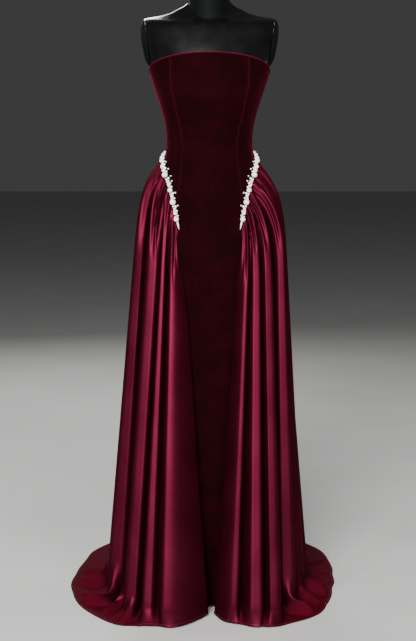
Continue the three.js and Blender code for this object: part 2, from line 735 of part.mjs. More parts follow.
function pearlString(side) {
  const stops = [0, 4, 10, 15].map((along) => ({ along, radius: pearlRadius(along) }));
  for (const pearl of pearlRows) {
    for (const share of [-0.85, 0, 0.85]) {
      const along = pearl.along + share * pearl.size / 2;
      const previous = stops[stops.length - 1].along;
      if (along > previous + 0.5) stops.push({ along, radius: pearlRadius(along) });
    }
  }
  const spot = (along) => {
    const angle = seam.at(clamp(along / seam.length, 0, 1));
    const uphill = seamZ(angle + 0.01) - seamZ(angle - 0.01);
    const run = bodyPoint(angle + 0.01, seamZ(angle)).distanceTo(bodyPoint(angle - 0.01, seamZ(angle)));
    const slope = Math.atan2(uphill, run);
    const moved = angle - angleFor(pearlInset * Math.sin(slope), angle, seamZ(angle));
    return { angle: moved, z: seamZ(angle) + pearlInset * Math.cos(slope) };
  };
  const onCloth = (along) => {
    const { angle, z } = spot(along);
    return bodyPoint(angle, z);
  };
  const rings = stops.map(({ along, radius }) => {
    const { angle, z } = spot(along);
    const normal = bodyNormal(angle, z);
    const ahead = onCloth(along + 1).sub(onCloth(Math.max(0, along - 1))).normalize();
    const aside = new THREE.Vector3().crossVectors(ahead, normal).normalize();
    const out = new THREE.Vector3().crossVectors(aside, ahead).normalize();
    const centre = bodyPoint(angle, z).addScaledVector(normal, radius + pearlLift);
    return Array.from({ length: pearlSides }, (_, i) => {
      const turn = 2 * Math.PI * (i + 0.5) / pearlSides * -side;
      const point = centre.clone()
        .addScaledVector(out, radius * Math.cos(turn))
        .addScaledVector(aside, -radius * Math.sin(turn));
      point.x *= side;
      return point;
    });
  });
  return named(`pearl_trim_${sideName(side)}`, loftGeometry(rings), pearlMaterial);
}

function zipChain() {
  const outer = [];
  const inner = [];
  const foot = seamZ(Math.PI) + curvedSeamGap;
  for (let row = 0; row <= 8; row += 1) {
    const z = mix(zip.topZ, foot, row / 8);
    const y = bodyPoint(Math.PI, z).y - 0.2;
    const across = [zip.width / 2, -zip.width / 2];
    outer.push(across.map((x) => new THREE.Vector3(x, y, z)));
    inner.push(across.map((x) => new THREE.Vector3(x, y - zip.wall, z)));
  }
  return named("zip_chain", wallGeometry(outer, inner, 1), zipMaterial);
}

// Slider body on the chain with the bail that carries the pull, in axes that lean with the back
function zipSlider() {
  const outline = new THREE.Shape();
  outline.moveTo(-slider.width / 2, slider.length / 2);
  outline.lineTo(-slider.lowWidth / 2, -slider.length / 2);
  outline.lineTo(slider.lowWidth / 2, -slider.length / 2);
  outline.lineTo(slider.width / 2, slider.length / 2);
  const body = new THREE.ExtrudeGeometry(outline, { depth: slider.depth, bevelEnabled: false });
  body.rotateX(quarter).translate(0, zip.lift + slider.depth, 0);
  const ring = new THREE.Shape();
  ring.absarc(0, 0, bail.outer, 0, 2 * Math.PI);
  const hole = new THREE.Path();
  hole.absarc(0, 0, bail.hole, 0, 2 * Math.PI);
  ring.holes.push(hole);
  const cut = { depth: bail.width, bevelEnabled: false, curveSegments: 12 };
  const loop = new THREE.ExtrudeGeometry(ring, cut);
  loop.rotateY(quarter).translate(-bail.width / 2, hingeRise, 0);
  return onBack(named("zip_slider", geometryFrom(solidOf(body).add(solidOf(loop))), zipMaterial));
}

// Pull tab: a drop-shaped plate whose two short arms carry a bar through the bail
function zipPull() {
  const outline = new THREE.Shape();
  const half = pull.width / 2;
  outline.moveTo(-half, 0);
  outline.lineTo(-half * 0.62, -pull.length * 0.45);
  outline.absarc(0, -pull.length + half, half, 0.85 * Math.PI, 2.15 * Math.PI);
  outline.lineTo(half * 0.62, -pull.length * 0.45);
  outline.lineTo(half, 0);
  const hole = new THREE.Path();
  const [right, top, low] = [pull.holeWidth / 2, -pull.bar * 0.3, -pull.holeDrop];
  hole.moveTo(-right, top).lineTo(right, top).lineTo(right, low).lineTo(-right, low);
  outline.holes.push(hole);
  const cut = { depth: pull.depth, bevelEnabled: false, curveSegments: 10 };
  const plate = new THREE.ExtrudeGeometry(outline, cut);
  plate.rotateX(quarter).translate(0, pull.depth / 2, 0);
  const bar = new THREE.CylinderGeometry(pull.bar, pull.bar, pull.width, 10);
  bar.rotateZ(quarter);
  const mesh = named("zip_pull", geometryFrom(solidOf(plate).add(solidOf(bar))), zipMaterial);
  mesh.position.y = hingeRise;
  return onBack(mesh);
}

const hingeRise = zip.lift + slider.depth + bail.lift;

// Places a mesh in axes whose Y points straight out of the velvet at the slider
function onBack(mesh) {
  const normal = bodyNormal(Math.PI, zip.sliderZ);
  const holder = new THREE.Group();
  holder.position.copy(bodyPoint(Math.PI, zip.sliderZ));
  holder.rotation.x = Math.atan2(normal.z, normal.y);
  holder.add(mesh);
  return holder;
}

// Outside of the dress form: the velvet's form drawn in by its wall, with its own foot and shoulders
const formRows = [
  ...formFootRows,
  ...formLevels.map((z) => ({
    z,
    half: bodyHalf(z) - formInset,
    front: bodyFront(z) - formInset,
    back: bodyBack(z) - formInset,
  })),
  ...shoulderRows,
];
const formSides = 32;
const neckSeamZ = shoulderRows[shoulderRows.length - 1].z;
const tipStart = 1430;

// One ring of points round the form, cut flat at the arms and tipped by a share of the neck's slope
function formRing(row, tipped = 0) {
  const armX = armPlane.x + (row.z - armPlane.z) * armPlane.lean;
  return Array.from({ length: formSides }, (_, i) => {
    const turn = 2 * Math.PI * i / formSides;
    const angle = Math.PI - Math.abs(Math.PI - turn);
    const aside = (angle / degree - bust.angle) / bust.angleSpread;
    const swell = bust.rise * Math.exp(-(aside ** 2) - ((row.z - bust.z) / bust.zSpread) ** 2);
    const depth = angle < quarter ? row.front : row.back;
    const x = (row.half + swell) * Math.sin(turn);
    const limit = row.z > armPlane.z - 15 ? armX : Infinity;
    const y = -(depth + swell) * Math.cos(angle);
    const slope = tipped * (y < 0 ? neckTilt.front : neckTilt.back);
    return new THREE.Vector3(clamp(x, -limit, limit), y, row.z + slope * y);
  });
}

function torso() {
  const tipAt = (z) => clamp((z - tipStart) / (neckSeamZ - tipStart), 0, 1) ** 1.5;
  return named("form_torso", loftGeometry(formRows.map((row) => formRing(row, tipAt(row.z)))), formMaterial);
}

// Neck: its foot follows the form's tipped top, and it is level at the top
function neckBlock() {
  const sized = (half, z) => ({ z, half, front: half - neck.y, back: half + neck.y });
  const rings = [
    formRing(sized(neck.radius, neckSeamZ + restGap), 1),
    formRing(sized(neck.radius - 1, neckSeamZ + 16), 0.75),
    formRing(sized(neck.radius - 1, neckSeamZ + 36), 0.35),
    formRing(sized(neck.radius, neck.topZ)),
  ];
  return named("neck_block", loftGeometry(rings), neckMaterial);
}

// Flat oval plate that closes each arm hole
function armPlate(side) {
  const outline = new THREE.Shape();
  const [deep, tall] = [armCap.halfDepth - armCap.bevel, armCap.halfHeight - armCap.bevel];
  outline.absellipse(0, 0, deep, tall, 0, 2 * Math.PI);
  const plate = new THREE.ExtrudeGeometry(outline, {
    depth: armCap.depth - 2 * armCap.bevel,
    bevelSize: armCap.bevel,
    bevelThickness: armCap.bevel,
    bevelSegments: 2,
    curveSegments: 20,
  });
  plate.translate(0, 0, armCap.bevel + restGap);
  const mesh = named(`arm_cap_${sideName(side)}`, plate, neckMaterial);
  const lean = Math.atan(armPlane.lean);
  const outward = new THREE.Vector3(side * Math.cos(lean), 0, -Math.sin(lean));
  const up = new THREE.Vector3(side * Math.sin(lean), 0, Math.cos(lean));
  const along = new THREE.Vector3().crossVectors(up, outward);
  mesh.quaternion.setFromRotationMatrix(new THREE.Matrix4().makeBasis(along, up, outward));
  mesh.position.set(side * (armPlane.x + (armCap.z - armPlane.z) * armPlane.lean), armCap.y, armCap.z);
  return mesh;
}

function stand() {
  const disc = new THREE.CylinderGeometry(base.radius, base.radius, base.depth, 48);
  disc.rotateX(quarter).translate(0, 0, base.depth / 2);
  const length = formFootZ - base.depth - 2 * restGap;
  const pole = new THREE.CylinderGeometry(poleRadius, poleRadius, length, 24);
  pole.rotateX(quarter).translate(0, 0, base.depth + restGap + length / 2);
  return [named("stand_base", disc, standMaterial), named("stand_pole", pole, standMaterial)];
}

const gown = new THREE.Group();
gown.add(centreFrontPanel(), ...bodice(-1), ...bodice(1));
gown.add(...satinPanels(-1, leftFolds, leftLipRows, 4), ...satinPanels(1, rightFolds, rightLipRows, 5));
gown.add(pearlString(-1), pearlString(1), zipChain(), zipSlider(), zipPull());
gown.add(torso(), neckBlock(), armPlate(-1), armPlate(1), ...stand());

export default gown;
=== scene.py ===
import math

import bpy
import numpy as np
from mathutils import Matrix, Vector


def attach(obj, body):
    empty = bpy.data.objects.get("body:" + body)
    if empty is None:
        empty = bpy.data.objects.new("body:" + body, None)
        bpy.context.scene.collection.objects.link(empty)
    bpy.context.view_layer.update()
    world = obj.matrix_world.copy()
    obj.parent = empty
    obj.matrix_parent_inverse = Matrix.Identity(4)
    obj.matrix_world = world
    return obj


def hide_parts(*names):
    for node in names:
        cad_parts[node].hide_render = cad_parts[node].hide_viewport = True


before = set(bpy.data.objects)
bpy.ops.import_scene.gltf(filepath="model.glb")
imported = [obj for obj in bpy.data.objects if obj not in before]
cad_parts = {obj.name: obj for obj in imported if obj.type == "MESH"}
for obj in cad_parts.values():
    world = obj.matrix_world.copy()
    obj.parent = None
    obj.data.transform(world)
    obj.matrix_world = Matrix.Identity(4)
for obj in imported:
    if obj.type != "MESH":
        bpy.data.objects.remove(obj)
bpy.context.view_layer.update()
mm = 0.001  # the gown and the form are given in millimetres and degrees, the studio in metres
degree = math.pi / 180
bothSides = ((-1, "left"), (1, "right"))


# Rows of a table as dictionaries, under the column names that stand before them
def table(columns, rows):
    return [dict(zip(columns.split(), row)) for row in rows]


# Selecting and finishing

def clearSelection():
    if bpy.context.mode != "OBJECT":
        bpy.ops.object.mode_set(mode="OBJECT")
    bpy.ops.object.select_all(action="DESELECT")


def pick(piece):
    clearSelection()
    piece.select_set(True)
    bpy.context.view_layer.objects.active = piece


def linked(piece):
    bpy.context.scene.collection.objects.link(piece)
    return piece


def copied(pattern):
    copy = pattern.copy()
    copy.data = pattern.data.copy()
    return linked(copy)


def ball(segments, rings, radius):
    clearSelection()
    bpy.ops.mesh.primitive_uv_sphere_add(segments=segments, ring_count=rings, radius=radius)
    return bpy.context.active_object


def resized(piece, size):
    pick(piece)
    bpy.ops.object.mode_set(mode="EDIT")
    bpy.ops.mesh.select_all(action="SELECT")
    bpy.ops.transform.resize(value=size)
    bpy.ops.object.mode_set(mode="OBJECT")


def applyModifier(piece, kind, **settings):
    pick(piece)
    modifier = piece.modifiers.new(kind.title(), kind)
    for key, value in settings.items():
        setattr(modifier, key, value)
    bpy.ops.object.modifier_apply(modifier=modifier.name)


def smoothBy(piece, angle):
    pick(piece)
    bpy.ops.object.shade_smooth_by_angle(angle=angle * degree)


def painted(piece, material):
    piece.data.materials.clear()
    piece.data.materials.append(material)


def dress(piece, material, node=None):
    painted(piece, material)
    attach(piece, "root")
    if node:
        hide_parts(node)
    return piece


# Shader maths: a socket with operators, and a material that adds nodes

class Wire:
    def __init__(self, look, socket):
        self.look = look
        self.socket = socket

    def maths(self, operation, first, second):
        return self.look.node("ShaderNodeMath", {"operation": operation}, {0: first, 1: second})

    def __add__(self, other):
        return self.maths("ADD", self, other)

    def __radd__(self, other):
        return self.maths("ADD", other, self)

    def __sub__(self, other):
        return self.maths("SUBTRACT", self, other)

    def __mul__(self, other):
        return self.maths("MULTIPLY", self, other)


class Look:
    def __init__(self, name, uniform):
        self.material = bpy.data.materials.new(name)
        self.material.use_nodes = True
        self.tree = self.material.node_tree
        self.shader = self.tree.nodes["Principled BSDF"]
        self.feed(uniform)

    def fill(self, node, values):
        for key, value in values.items():
            if isinstance(value, Wire):
                self.tree.links.new(value.socket, node.inputs[key])
            else:
                node.inputs[key].default_value = value

    def feed(self, values):
        self.fill(self.shader, values)

    def node(self, kind, settings, values, output=0):
        made = self.tree.nodes.new(kind)
        for key, value in settings.items():
            setattr(made, key, value)
        self.fill(made, values)
        return Wire(self, made.outputs[output])

    def place(self, scale=(1, 1, 1), source="Object"):
        spot = self.node("ShaderNodeTexCoord", {}, {}, source)
        return self.node("ShaderNodeMapping", {}, {"Vector": spot, "Scale": scale})

    def noise(self, vector, scale, detail=2.0, roughness=0.5):
        values = {"Vector": vector, "Scale": scale, "Detail": detail, "Roughness": roughness}
        return self.node("ShaderNodeTexNoise", {}, values, "Fac")

    def remap(self, value, low, high, start, end):
        settings = {"interpolation_type": "SMOOTHSTEP"}
        values = {"Value": value, "From Min": low, "From Max": high, "To Min": start, "To Max": end}
        return self.node("ShaderNodeMapRange", settings, values)

    def blend(self, share, first, second):
        values = {0: share, 6: first, 7: second}
        return self.node("ShaderNodeMix", {"data_type": "RGBA"}, values, 2)

    def bump(self, height, strength, distance):
        values = {"Height": height, "Strength": strength, "Distance": distance}
        return self.node("ShaderNodeBump", {}, values)


# Materials

velvetFinish = {
    "deep": (0.0055, 0.0001, 0.0006, 1),
    "lit": (0.0095, 0.0001, 0.0010, 1),
    "sheen": (0.78, 0.022, 0.115, 1),
    "worn": (0.110, 0.007, 0.022, 1),  # painted highlight, where the light catches the rolled neck edge and the seams
    "pile": 2600,
}
satinFinish = {
    "deep": (0.054, 0.0040, 0.0120, 1),
    "lit": (0.066, 0.0054, 0.0152, 1),
    "flat": (0.050, 0.0019, 0.0062, 1),  # where it lies flat on the floor, and its shine is turned away
    "tint": (0.30, 0.02, 0.06, 1),
    "roughness": (0.48, 0.84),  # hanging and lying flat
    "metallic": (0.80, 0.04),
    "threads": 2400,
}
pearlFinish = {"cream": (0.90, 0.85, 0.78, 1), "white": (0.97, 0.95, 0.92, 1), "roughness": 0.20}
formFinish = {"gloss": (0.0022, 0.0024, 0.0023, 1), "matte": (0.0022, 0.0024, 0.0026, 1)}
metalFinish = {"stand": (0.045, 0.045, 0.048, 1), "zip": (0.16, 0.055, 0.075, 1)}


def velvetLook():
    look = Look("velvetWine", {
        "Roughness": 0.88, "Specular IOR Level": 0.03, "Sheen Weight": 0.17,
        "Sheen Roughness": 0.34, "Sheen Tint": velvetFinish["sheen"],
    })
    spot = look.place()
    crushed = look.noise(spot, 17, 3, 0.55)
    brushed = look.noise(look.place((1, 1, 0.35)), 130, 2)
    shade = look.remap(crushed * 0.7 + brushed * 0.3, 0.38, 0.66, 0, 1)
    pile = look.noise(spot, velvetFinish["pile"], 2, 0.6)
    # The attribute read here is a painted highlight: a lighter colour where the rolled neck edge and the
    # princess seams catch the light
    worn = look.node("ShaderNodeAttribute", {"attribute_name": "worn"}, {}, "Fac")
    plush = look.blend(shade, velvetFinish["deep"], velvetFinish["lit"])
    look.feed({
        "Base Color": look.blend(worn, plush, velvetFinish["worn"]),
        "Roughness": look.remap(pile, 0.3, 0.7, 0.82, 0.95),
        "Normal": look.bump(pile * 0.6 + brushed * 0.4, 0.22, 0.0006),
    })
    return look.material


def satinLook():
    look = Look("satinBurgundy", {"Specular Tint": satinFinish["tint"], "Specular IOR Level": 0.05})
    warp = look.noise(look.place((1, 0.06, 1), "UV"), satinFinish["threads"], 1)
    weft = look.noise(look.place((0.10, 1, 1), "UV"), satinFinish["threads"] * 0.7, 1)
    soft = look.noise(look.place(source="UV"), 9, 3)
    shade = look.remap(soft * 0.75 + warp * 0.25, 0.36, 0.64, 0, 1)
    lying = look.node("ShaderNodeAttribute", {"attribute_name": "lying"}, {}, "Fac")
    hanging = look.blend(shade, satinFinish["deep"], satinFinish["lit"])
    rough, flatRough = satinFinish["roughness"]
    look.feed({
        "Base Color": look.blend(lying, hanging, satinFinish["flat"]),
        "Metallic": look.remap(lying, 0, 1, *satinFinish["metallic"]),
        "Roughness": lying * (flatRough - rough) + rough + (weft - 0.5) * 0.10 + (soft - 0.5) * 0.05,
        "Normal": look.bump(warp * 0.6 + weft * 0.4, 0.10, 0.0004),
    })
    return look.material


def pearlLook():
    look = Look("pearlNacre", {
        "Specular IOR Level": 0.6, "Coat Weight": 0.7, "Coat Roughness": 0.06, "Coat IOR": 1.6,
        "Subsurface Weight": 0.12, "Subsurface Scale": 0.002,
    })
    spot = look.place()
    tint = look.remap(look.noise(spot, 55, 1), 0.35, 0.65, 0, 1)
    rings = look.noise(spot, 420, 2)
    look.feed({
        "Base Color": look.blend(tint, pearlFinish["cream"], pearlFinish["white"]),
        "Roughness": pearlFinish["roughness"] + (rings - 0.5) * 0.16,
        "Normal": look.bump(rings, 0.12, 0.0004),
    })
    return look.material


def formLook(name, colour, roughness, coat, grain, shine):
    look = Look(name, {"Coat Weight": coat, "Coat Roughness": 0.10, "Specular IOR Level": shine})
    spot = look.place()
    soft = look.noise(spot, 26, 3)
    fine = look.noise(spot, grain, 2)
    pale = tuple(value * 1.5 for value in colour[:3]) + (1,)
    look.feed({
        "Base Color": look.blend(look.remap(soft, 0.35, 0.7, 0, 1), colour, pale),
        "Roughness": roughness + (soft - 0.5) * 0.10 + (fine - 0.5) * 0.05,
        "Normal": look.bump(fine, 0.10, 0.0004),
    })
    return look.material


def metalLook(name, colour, roughness, lines):
    look = Look(name, {"Metallic": 0.85})
    brushed = look.noise(look.place((1, 1, 0.04)), lines, 2)
    worn = look.noise(look.place(), 60, 3)
    pale = tuple(min(1, value * 1.9) for value in colour[:3]) + (1,)
    look.feed({
        "Base Color": look.blend(look.remap(worn, 0.55, 0.8, 0, 0.5), colour, pale),
        "Roughness": roughness + (brushed - 0.5) * 0.22,
        "Normal": look.bump(brushed, 0.15, 0.0002),
    })
    return look.material


def threadLook():
    look = Look("sewingThread", {"Roughness": 0.6, "Sheen Weight": 0.2})
    twist = look.noise(look.place((1, 1, 3)), 3000, 1)
    shade = look.remap(twist, 0.4, 0.6, 0, 1)
    look.feed({"Base Color": look.blend(shade, (0.11, 0.008, 0.022, 1), (0.19, 0.016, 0.040, 1))})
    return look.material


velvet = velvetLook()
satin = satinLook()
pearl = pearlLook()
formGloss = formLook("formGloss", formFinish["gloss"], 0.22, 0.50, 700, 0.22)
formMatte = formLook("formMatte", formFinish["matte"], 0.62, 0.0, 1400, 0.04)
standMetal = metalLook("standMetal", metalFinish["stand"], 0.36, 900)
zipMetal = metalLook("zipMetal", metalFinish["zip"], 0.38, 2500)
thread = threadLook()
print("materials made")


# Curves through tables, and the body that the gown follows

def curve(rows, key, column):
    xs = np.array([row[key] for row in rows], float)
    ys = np.array([row[column] for row in rows], float)
    rises = np.diff(ys) / np.diff(xs)
    slopes = np.concatenate([rises[:1], np.zeros(len(xs) - 2), rises[-1:]])
    for i in range(1, len(xs) - 1):
        if rises[i - 1] * rises[i] > 0:
            slopes[i] = 2 / (1 / rises[i - 1] + 1 / rises[i])

    def at(x):
        x = np.asarray(x, float)
        i = np.clip(np.searchsorted(xs, x) - 1, 0, len(xs) - 2)
        width = xs[i + 1] - xs[i]
        t = np.clip((x - xs[i]) / width, 0, 1)
        rest = 1 - t
        start = ys[i] * (1 + 2 * t) * rest**2 + slopes[i] * width * t * rest**2
        return start + ys[i + 1] * t**2 * (3 - 2 * t) - slopes[i + 1] * width * t**2 * rest
    return at


body = {
    "rows": table("z half front back", [
        (0, 275, 146, 150), (500, 222, 127, 140), (935, 160, 107, 118), (1000, 152, 101, 112),
        (1060, 134, 93, 101), (1111, 112, 85, 86), (1147, 106, 82, 79), (1184, 108.5, 86, 78),
        (1230, 119.5, 96, 82), (1272, 133, 103.5, 87), (1321, 148, 103, 90), (1370, 158, 94, 86),
    ]),
    "bust": dict(rise=8, angle=38, angleSpread=28, z=1288, zSpread=62),
}
seamLine = {
    "rows": table("angle z", [
        (29.6, 935), (34.2, 977), (37.3, 1001), (42, 1025), (52, 1056), (62, 1074), (75, 1091),
        (90, 1104), (108, 1118), (130, 1120), (155, 1105), (180, 1082),
    ]),
    "gap": 0.6,
}
panelEdge = {
    "princess": table("z half", [
        (977, 88), (1039, 77), (1090, 70), (1140, 67), (1227, 80), (1290, 88), (1356, 93),
        (1370, 94),
    ]),
    "free": table("z half", [(0, 95), (500, 86), (935, 79)]),
    "backSeam": 146 * degree,
}
neckline = {"sideZ": 1321, "tip": 45, "roll": 1.5, "rollHeight": 3.6}
quarter = math.pi / 2

bodyHalf = curve(body["rows"], "z", "half")
bodyFront = curve(body["rows"], "z", "front")
bodyBack = curve(body["rows"], "z", "back")
seamHeight = curve(seamLine["rows"], "angle", "z")
princessHalf = curve(panelEdge["princess"], "z", "half")
freeHalf = curve(panelEdge["free"], "z", "half")
seamStart = seamLine["rows"][0]["angle"] * degree
seamTipZ = seamLine["rows"][0]["z"]


def bustRise(angle, z):
    bust = body["bust"]
    aside = (np.abs(angle) / degree - bust["angle"]) / bust["angleSpread"]
    return bust["rise"] * np.exp(-aside**2 - ((z - bust["z"]) / bust["zSpread"])**2)


def bodyPoint(angle, z):
    angle, z = np.broadcast_arrays(np.asarray(angle, float), np.asarray(z, float))
    depth = np.where(np.abs(angle) < quarter, bodyFront(z), bodyBack(z))
    rise = bustRise(angle, z)
    return np.stack([(bodyHalf(z) + rise) * np.sin(angle), -(depth + rise) * np.cos(angle), z], -1)


def unit(vectors):
    return vectors / np.maximum(np.linalg.norm(vectors, axis=-1, keepdims=True), 1e-9)


def bodyNormal(angle, z):
    across = bodyPoint(angle + 0.01, z) - bodyPoint(angle - 0.01, z)
    down = bodyPoint(angle, z - 1) - bodyPoint(angle, z + 1)
    return unit(np.cross(down, across))


def angleFor(distance, angle, z):
    reach = np.linalg.norm(bodyPoint(angle + 0.005, z) - bodyPoint(angle - 0.005, z), axis=-1) / 0.01
    return distance / reach


def seamZ(angle):
    return seamHeight(np.asarray(angle) / degree)


def seamShift(angle):
    ahead = np.minimum(angle + 0.01, math.pi)
    behind = np.maximum(angle - 0.01, seamStart)
    run = np.linalg.norm(bodyPoint(ahead, seamZ(angle)) - bodyPoint(behind, seamZ(angle)), axis=-1)
    return seamLine["gap"] / 2 * np.hypot(1, (seamZ(ahead) - seamZ(behind)) / run)


frontAngles = np.linspace(seamStart, quarter, 600)


def panelAngle(z):
    z = np.asarray(z, float)
    free = np.arcsin(freeHalf(np.minimum(z, seamTipZ)) / bodyHalf(np.minimum(z, seamTipZ)))
    princess = np.arcsin(princessHalf(z) / bodyPoint(quarter, z)[..., 0])
    onSeam = np.minimum(princess, np.interp(z, seamZ(frontAngles), frontAngles))
    return np.where(z <= seamTipZ, free, np.where(z > seamZ(quarter), princess, onSeam))


def necklineZ(angle):
    return neckline["sideZ"] + neckline["tip"] * np.cos(angle)


def seamTopAt(angle):
    held = np.maximum(np.abs(angle), seamStart)
    return seamZ(held) + seamShift(held)


def meetHeight(angleAt, levelAt, low, high, count):
    under, over = np.full(count, float(low)), np.full(count, float(high))
    for _ in range(40):
        z = (under + over) / 2
        below = z < levelAt(angleAt(z))
        under, over = np.where(below, z, under), np.where(below, over, z)
    return (under + over) / 2


# Cloth meshes from grids of outside points: rows run down, columns run round from the front

def gridNormals(grid, side):
    down = np.gradient(grid, axis=0)
    across = np.gradient(grid, axis=1)
    return unit(np.cross(down, across)) * side


def lengths(grid, axis):
    steps = np.linalg.norm(np.diff(grid, axis=axis), axis=-1)
    pad = [(0, 0), (0, 0)]
    pad[axis] = (1, 0)
    return np.cumsum(np.pad(steps, pad), axis=axis)


def runLength(path):
    return np.concatenate([[0], np.cumsum(np.linalg.norm(np.diff(path, axis=0), axis=-1))])


def meshObject(name, points, faces):
    mesh = bpy.data.meshes.new(name)
    mesh.from_pydata((np.asarray(points) * mm).tolist(), [], faces)
    return linked(bpy.data.objects.new(name, mesh))


# Marks are values from 0 to 1 over the grid, which the materials read by name
def clothShell(name, grid, side, thickness, **marks):
    rows, columns = grid.shape[:2]
    corner = (np.arange(rows - 1)[:, None] * columns + np.arange(columns - 1)).ravel()
    faces = np.stack([corner, corner + columns, corner + columns + 1, corner + 1], 1)
    if side < 0:
        faces = faces[:, ::-1]
    piece = meshObject(name, grid.reshape(-1, 3), faces.tolist())
    around = np.broadcast_to(lengths(grid, 1).mean(0), (rows, columns))
    spots = np.stack([around, -lengths(grid, 0)], -1).reshape(-1, 2) * mm
    unwrapped = piece.data.uv_layers.new(name="cloth")
    unwrapped.data.foreach_set("uv", spots[faces.ravel()].astype(np.float32).ravel())
    for name, values in marks.items():
        mark = piece.data.attributes.new(name, "FLOAT", "POINT")
        mark.data.foreach_set("value", values.astype(np.float32).ravel())
    applyModifier(piece, "SOLIDIFY", thickness=thickness * mm, offset=-1)
    smoothBy(piece, 55)
    return piece


# A crease across itself: a trough between two low shoulders
def creaseShape(aside, shoulder):
    return np.exp(-aside**2) - shoulder * np.exp(-(np.abs(aside) - 1.8) ** 2)


# Velvet bodice and centre front panel

velvetCloth = {
    "thickness": 1.8,
    "rows": 96,
    "seamGap": 0.3,
    "seamRoll": 0.9,  # how deep the cloth dips into a sewn seam, and how far from it the dip starts
    "seamRollWidth": 2.2,
    # Strengths of the painted highlight along the princess seams and along the neck edge
    "seamHighlight": 0.13,
    "neckHighlight": 0.75,
    "hemHeight": 6,
    "bodyReach": 115,  # millimetres round the body for a radian, near the waist
    # Soft creases: angle and height of each end, half width, depth
    "creases": table("angle z endAngle endZ width depth", [
        (62, 1168, 84, 1136, 7, 1.3), (58, 1146, 88, 1122, 6, 1.2), (70, 1190, 92, 1160, 8, 0.9),
        (66, 1120, 94, 1108, 5, 0.9), (48, 1102, 66, 1128, 9, 0.8), (-60, 1160, -86, 1130, 7, 1.3),
        (-64, 1184, -90, 1152, 7, 1.0), (-55, 1138, -84, 1116, 6, 1.0),
        (-46, 1098, -64, 1122, 9, 0.8), (112, 1160, 138, 1140, 8, 1.1),
        (104, 1132, 136, 1126, 6, 0.9), (150, 1150, 172, 1136, 7, 1.0),
        (-110, 1164, -140, 1138, 8, 1.1), (-104, 1140, -134, 1124, 6, 0.9),
        (-148, 1146, -172, 1134, 7, 1.0), (6, 1120, 24, 1060, 16, 0.7),
        (-5, 1100, -22, 1036, 16, 0.7),
    ]),
}


def velvetCreases(angle, z):
    total = np.zeros_like(z)
    for crease in velvetCloth["creases"]:
        reach = velvetCloth["bodyReach"] * degree
        run = (crease["endAngle"] - crease["angle"]) * reach
        drop = crease["endZ"] - crease["z"]
        length = math.hypot(run, drop)
        x = (angle / degree - crease["angle"]) * reach
        y = z - crease["z"]
        along = (x * run + y * drop) / length**2
        bow = 0.10 * length * np.sin(np.pi * np.clip(along, 0, 1))
        aside = ((y * run - x * drop) / length + bow) / crease["width"]
        fade = np.sin(np.pi * np.clip(along, 0, 1)) ** 1.3
        total -= crease["depth"] * fade * creaseShape(aside, 0.4)
    return total


# Shares from 0 to 1 that lie closer together at both ends
def spaced(count):
    t = np.linspace(0, 1, count)
    return t - 0.12 * np.sin(2 * np.pi * t)


def pieceName(node):
    first, *others = node.split("_")
    return first + "".join(word.title() for word in others)


def velvetPanel(name, side, columns, angleAt, topAt, bottomAt, levels):
    across = spaced(columns)
    heights = topAt(across) + (bottomAt(across) - topAt(across)) * spaced(velvetCloth["rows"])[:, None]
    if len(levels):
        heights = np.vstack([heights, np.repeat(np.array(levels)[:, None], columns, 1)])
    place = angleAt(across, heights)
    gap = angleFor(velvetCloth["seamGap"] / 2, place, heights)
    place[:, 0] += gap[:, 0]
    place[:, -1] -= gap[:, -1]
    base = bodyPoint(place, heights)
    around = lengths(base, 1)
    fromSeam = np.minimum(around, around[:, -1:] - around)
    fromTop = lengths(base, 0)
    nearSeam = fromSeam / velvetCloth["seamRollWidth"]
    rolled = velvetCloth["seamRoll"] * (0.6 * np.exp(-((nearSeam - 1.7) ** 2)) - np.exp(-(nearSeam**2)))
    edge = neckline["roll"] * np.exp(-((fromTop - 1.6) / neckline["rollHeight"] * 1.6) ** 2)
    puff = velvetCreases(place * side, heights) + rolled + edge
    grid = base + bodyNormal(place, heights) * puff[..., None]
    grid[..., 0] *= side
    # Painted highlight at the top edge, and along the princess seams above their tips, where these rolled
    # edges catch the light
    princess = (heights > seamTipZ - 20) & (np.abs(place) < quarter * 0.9)
    seamHighlight = velvetCloth["seamHighlight"] * np.exp(-(((nearSeam - 0.9) / 0.5) ** 2)) * princess
    worn = np.maximum(velvetCloth["neckHighlight"] * np.exp(-((fromTop / 2) ** 2)), seamHighlight)
    piece = clothShell(pieceName(name), grid, side, velvetCloth["thickness"], worn=worn)
    dress(piece, velvet, name)


def centreFrontPanel():
    def angleAt(across, z):
        return (2 * across - 1) * panelAngle(z)

    def topAt(across):
        return meetHeight(lambda z: angleAt(across, z), necklineZ, 1321, 1370, len(across))

    joinZ = float(meetHeight(panelAngle, seamTopAt, seamTipZ, 1200, 1)[0])
    hem = velvetCloth["hemHeight"]
    levels = np.concatenate([np.linspace(joinZ - 3, 935, 12), np.linspace(925, 10, 90), [hem + 1, hem]])
    velvetPanel("centre_front_panel", 1, 84, angleAt, topAt, lambda across: np.full(len(across), joinZ),
                levels)


def bodicePanel(name, side, columns, startAt, endAt):
    def angleAt(across, z):
        return startAt(z) + (endAt(z) - startAt(z)) * across

    def topAt(across):
        return meetHeight(lambda z: angleAt(across, z), necklineZ, 1250, 1370, len(across))

    def bottomAt(across):
        return meetHeight(lambda z: angleAt(across, z), seamTopAt, seamTipZ, 1200, len(across))

    velvetPanel(name, side, columns, angleAt, topAt, bottomAt, [])


def zipEdge(z):
    return math.pi - angleFor(zipper["width"] / 2 + velvetCloth["seamGap"] / 2, math.pi, z)


def sideSeam(z):
    return np.full(np.shape(z), quarter)


def backPanelSeam(z):
    return np.full(np.shape(z), panelEdge["backSeam"])


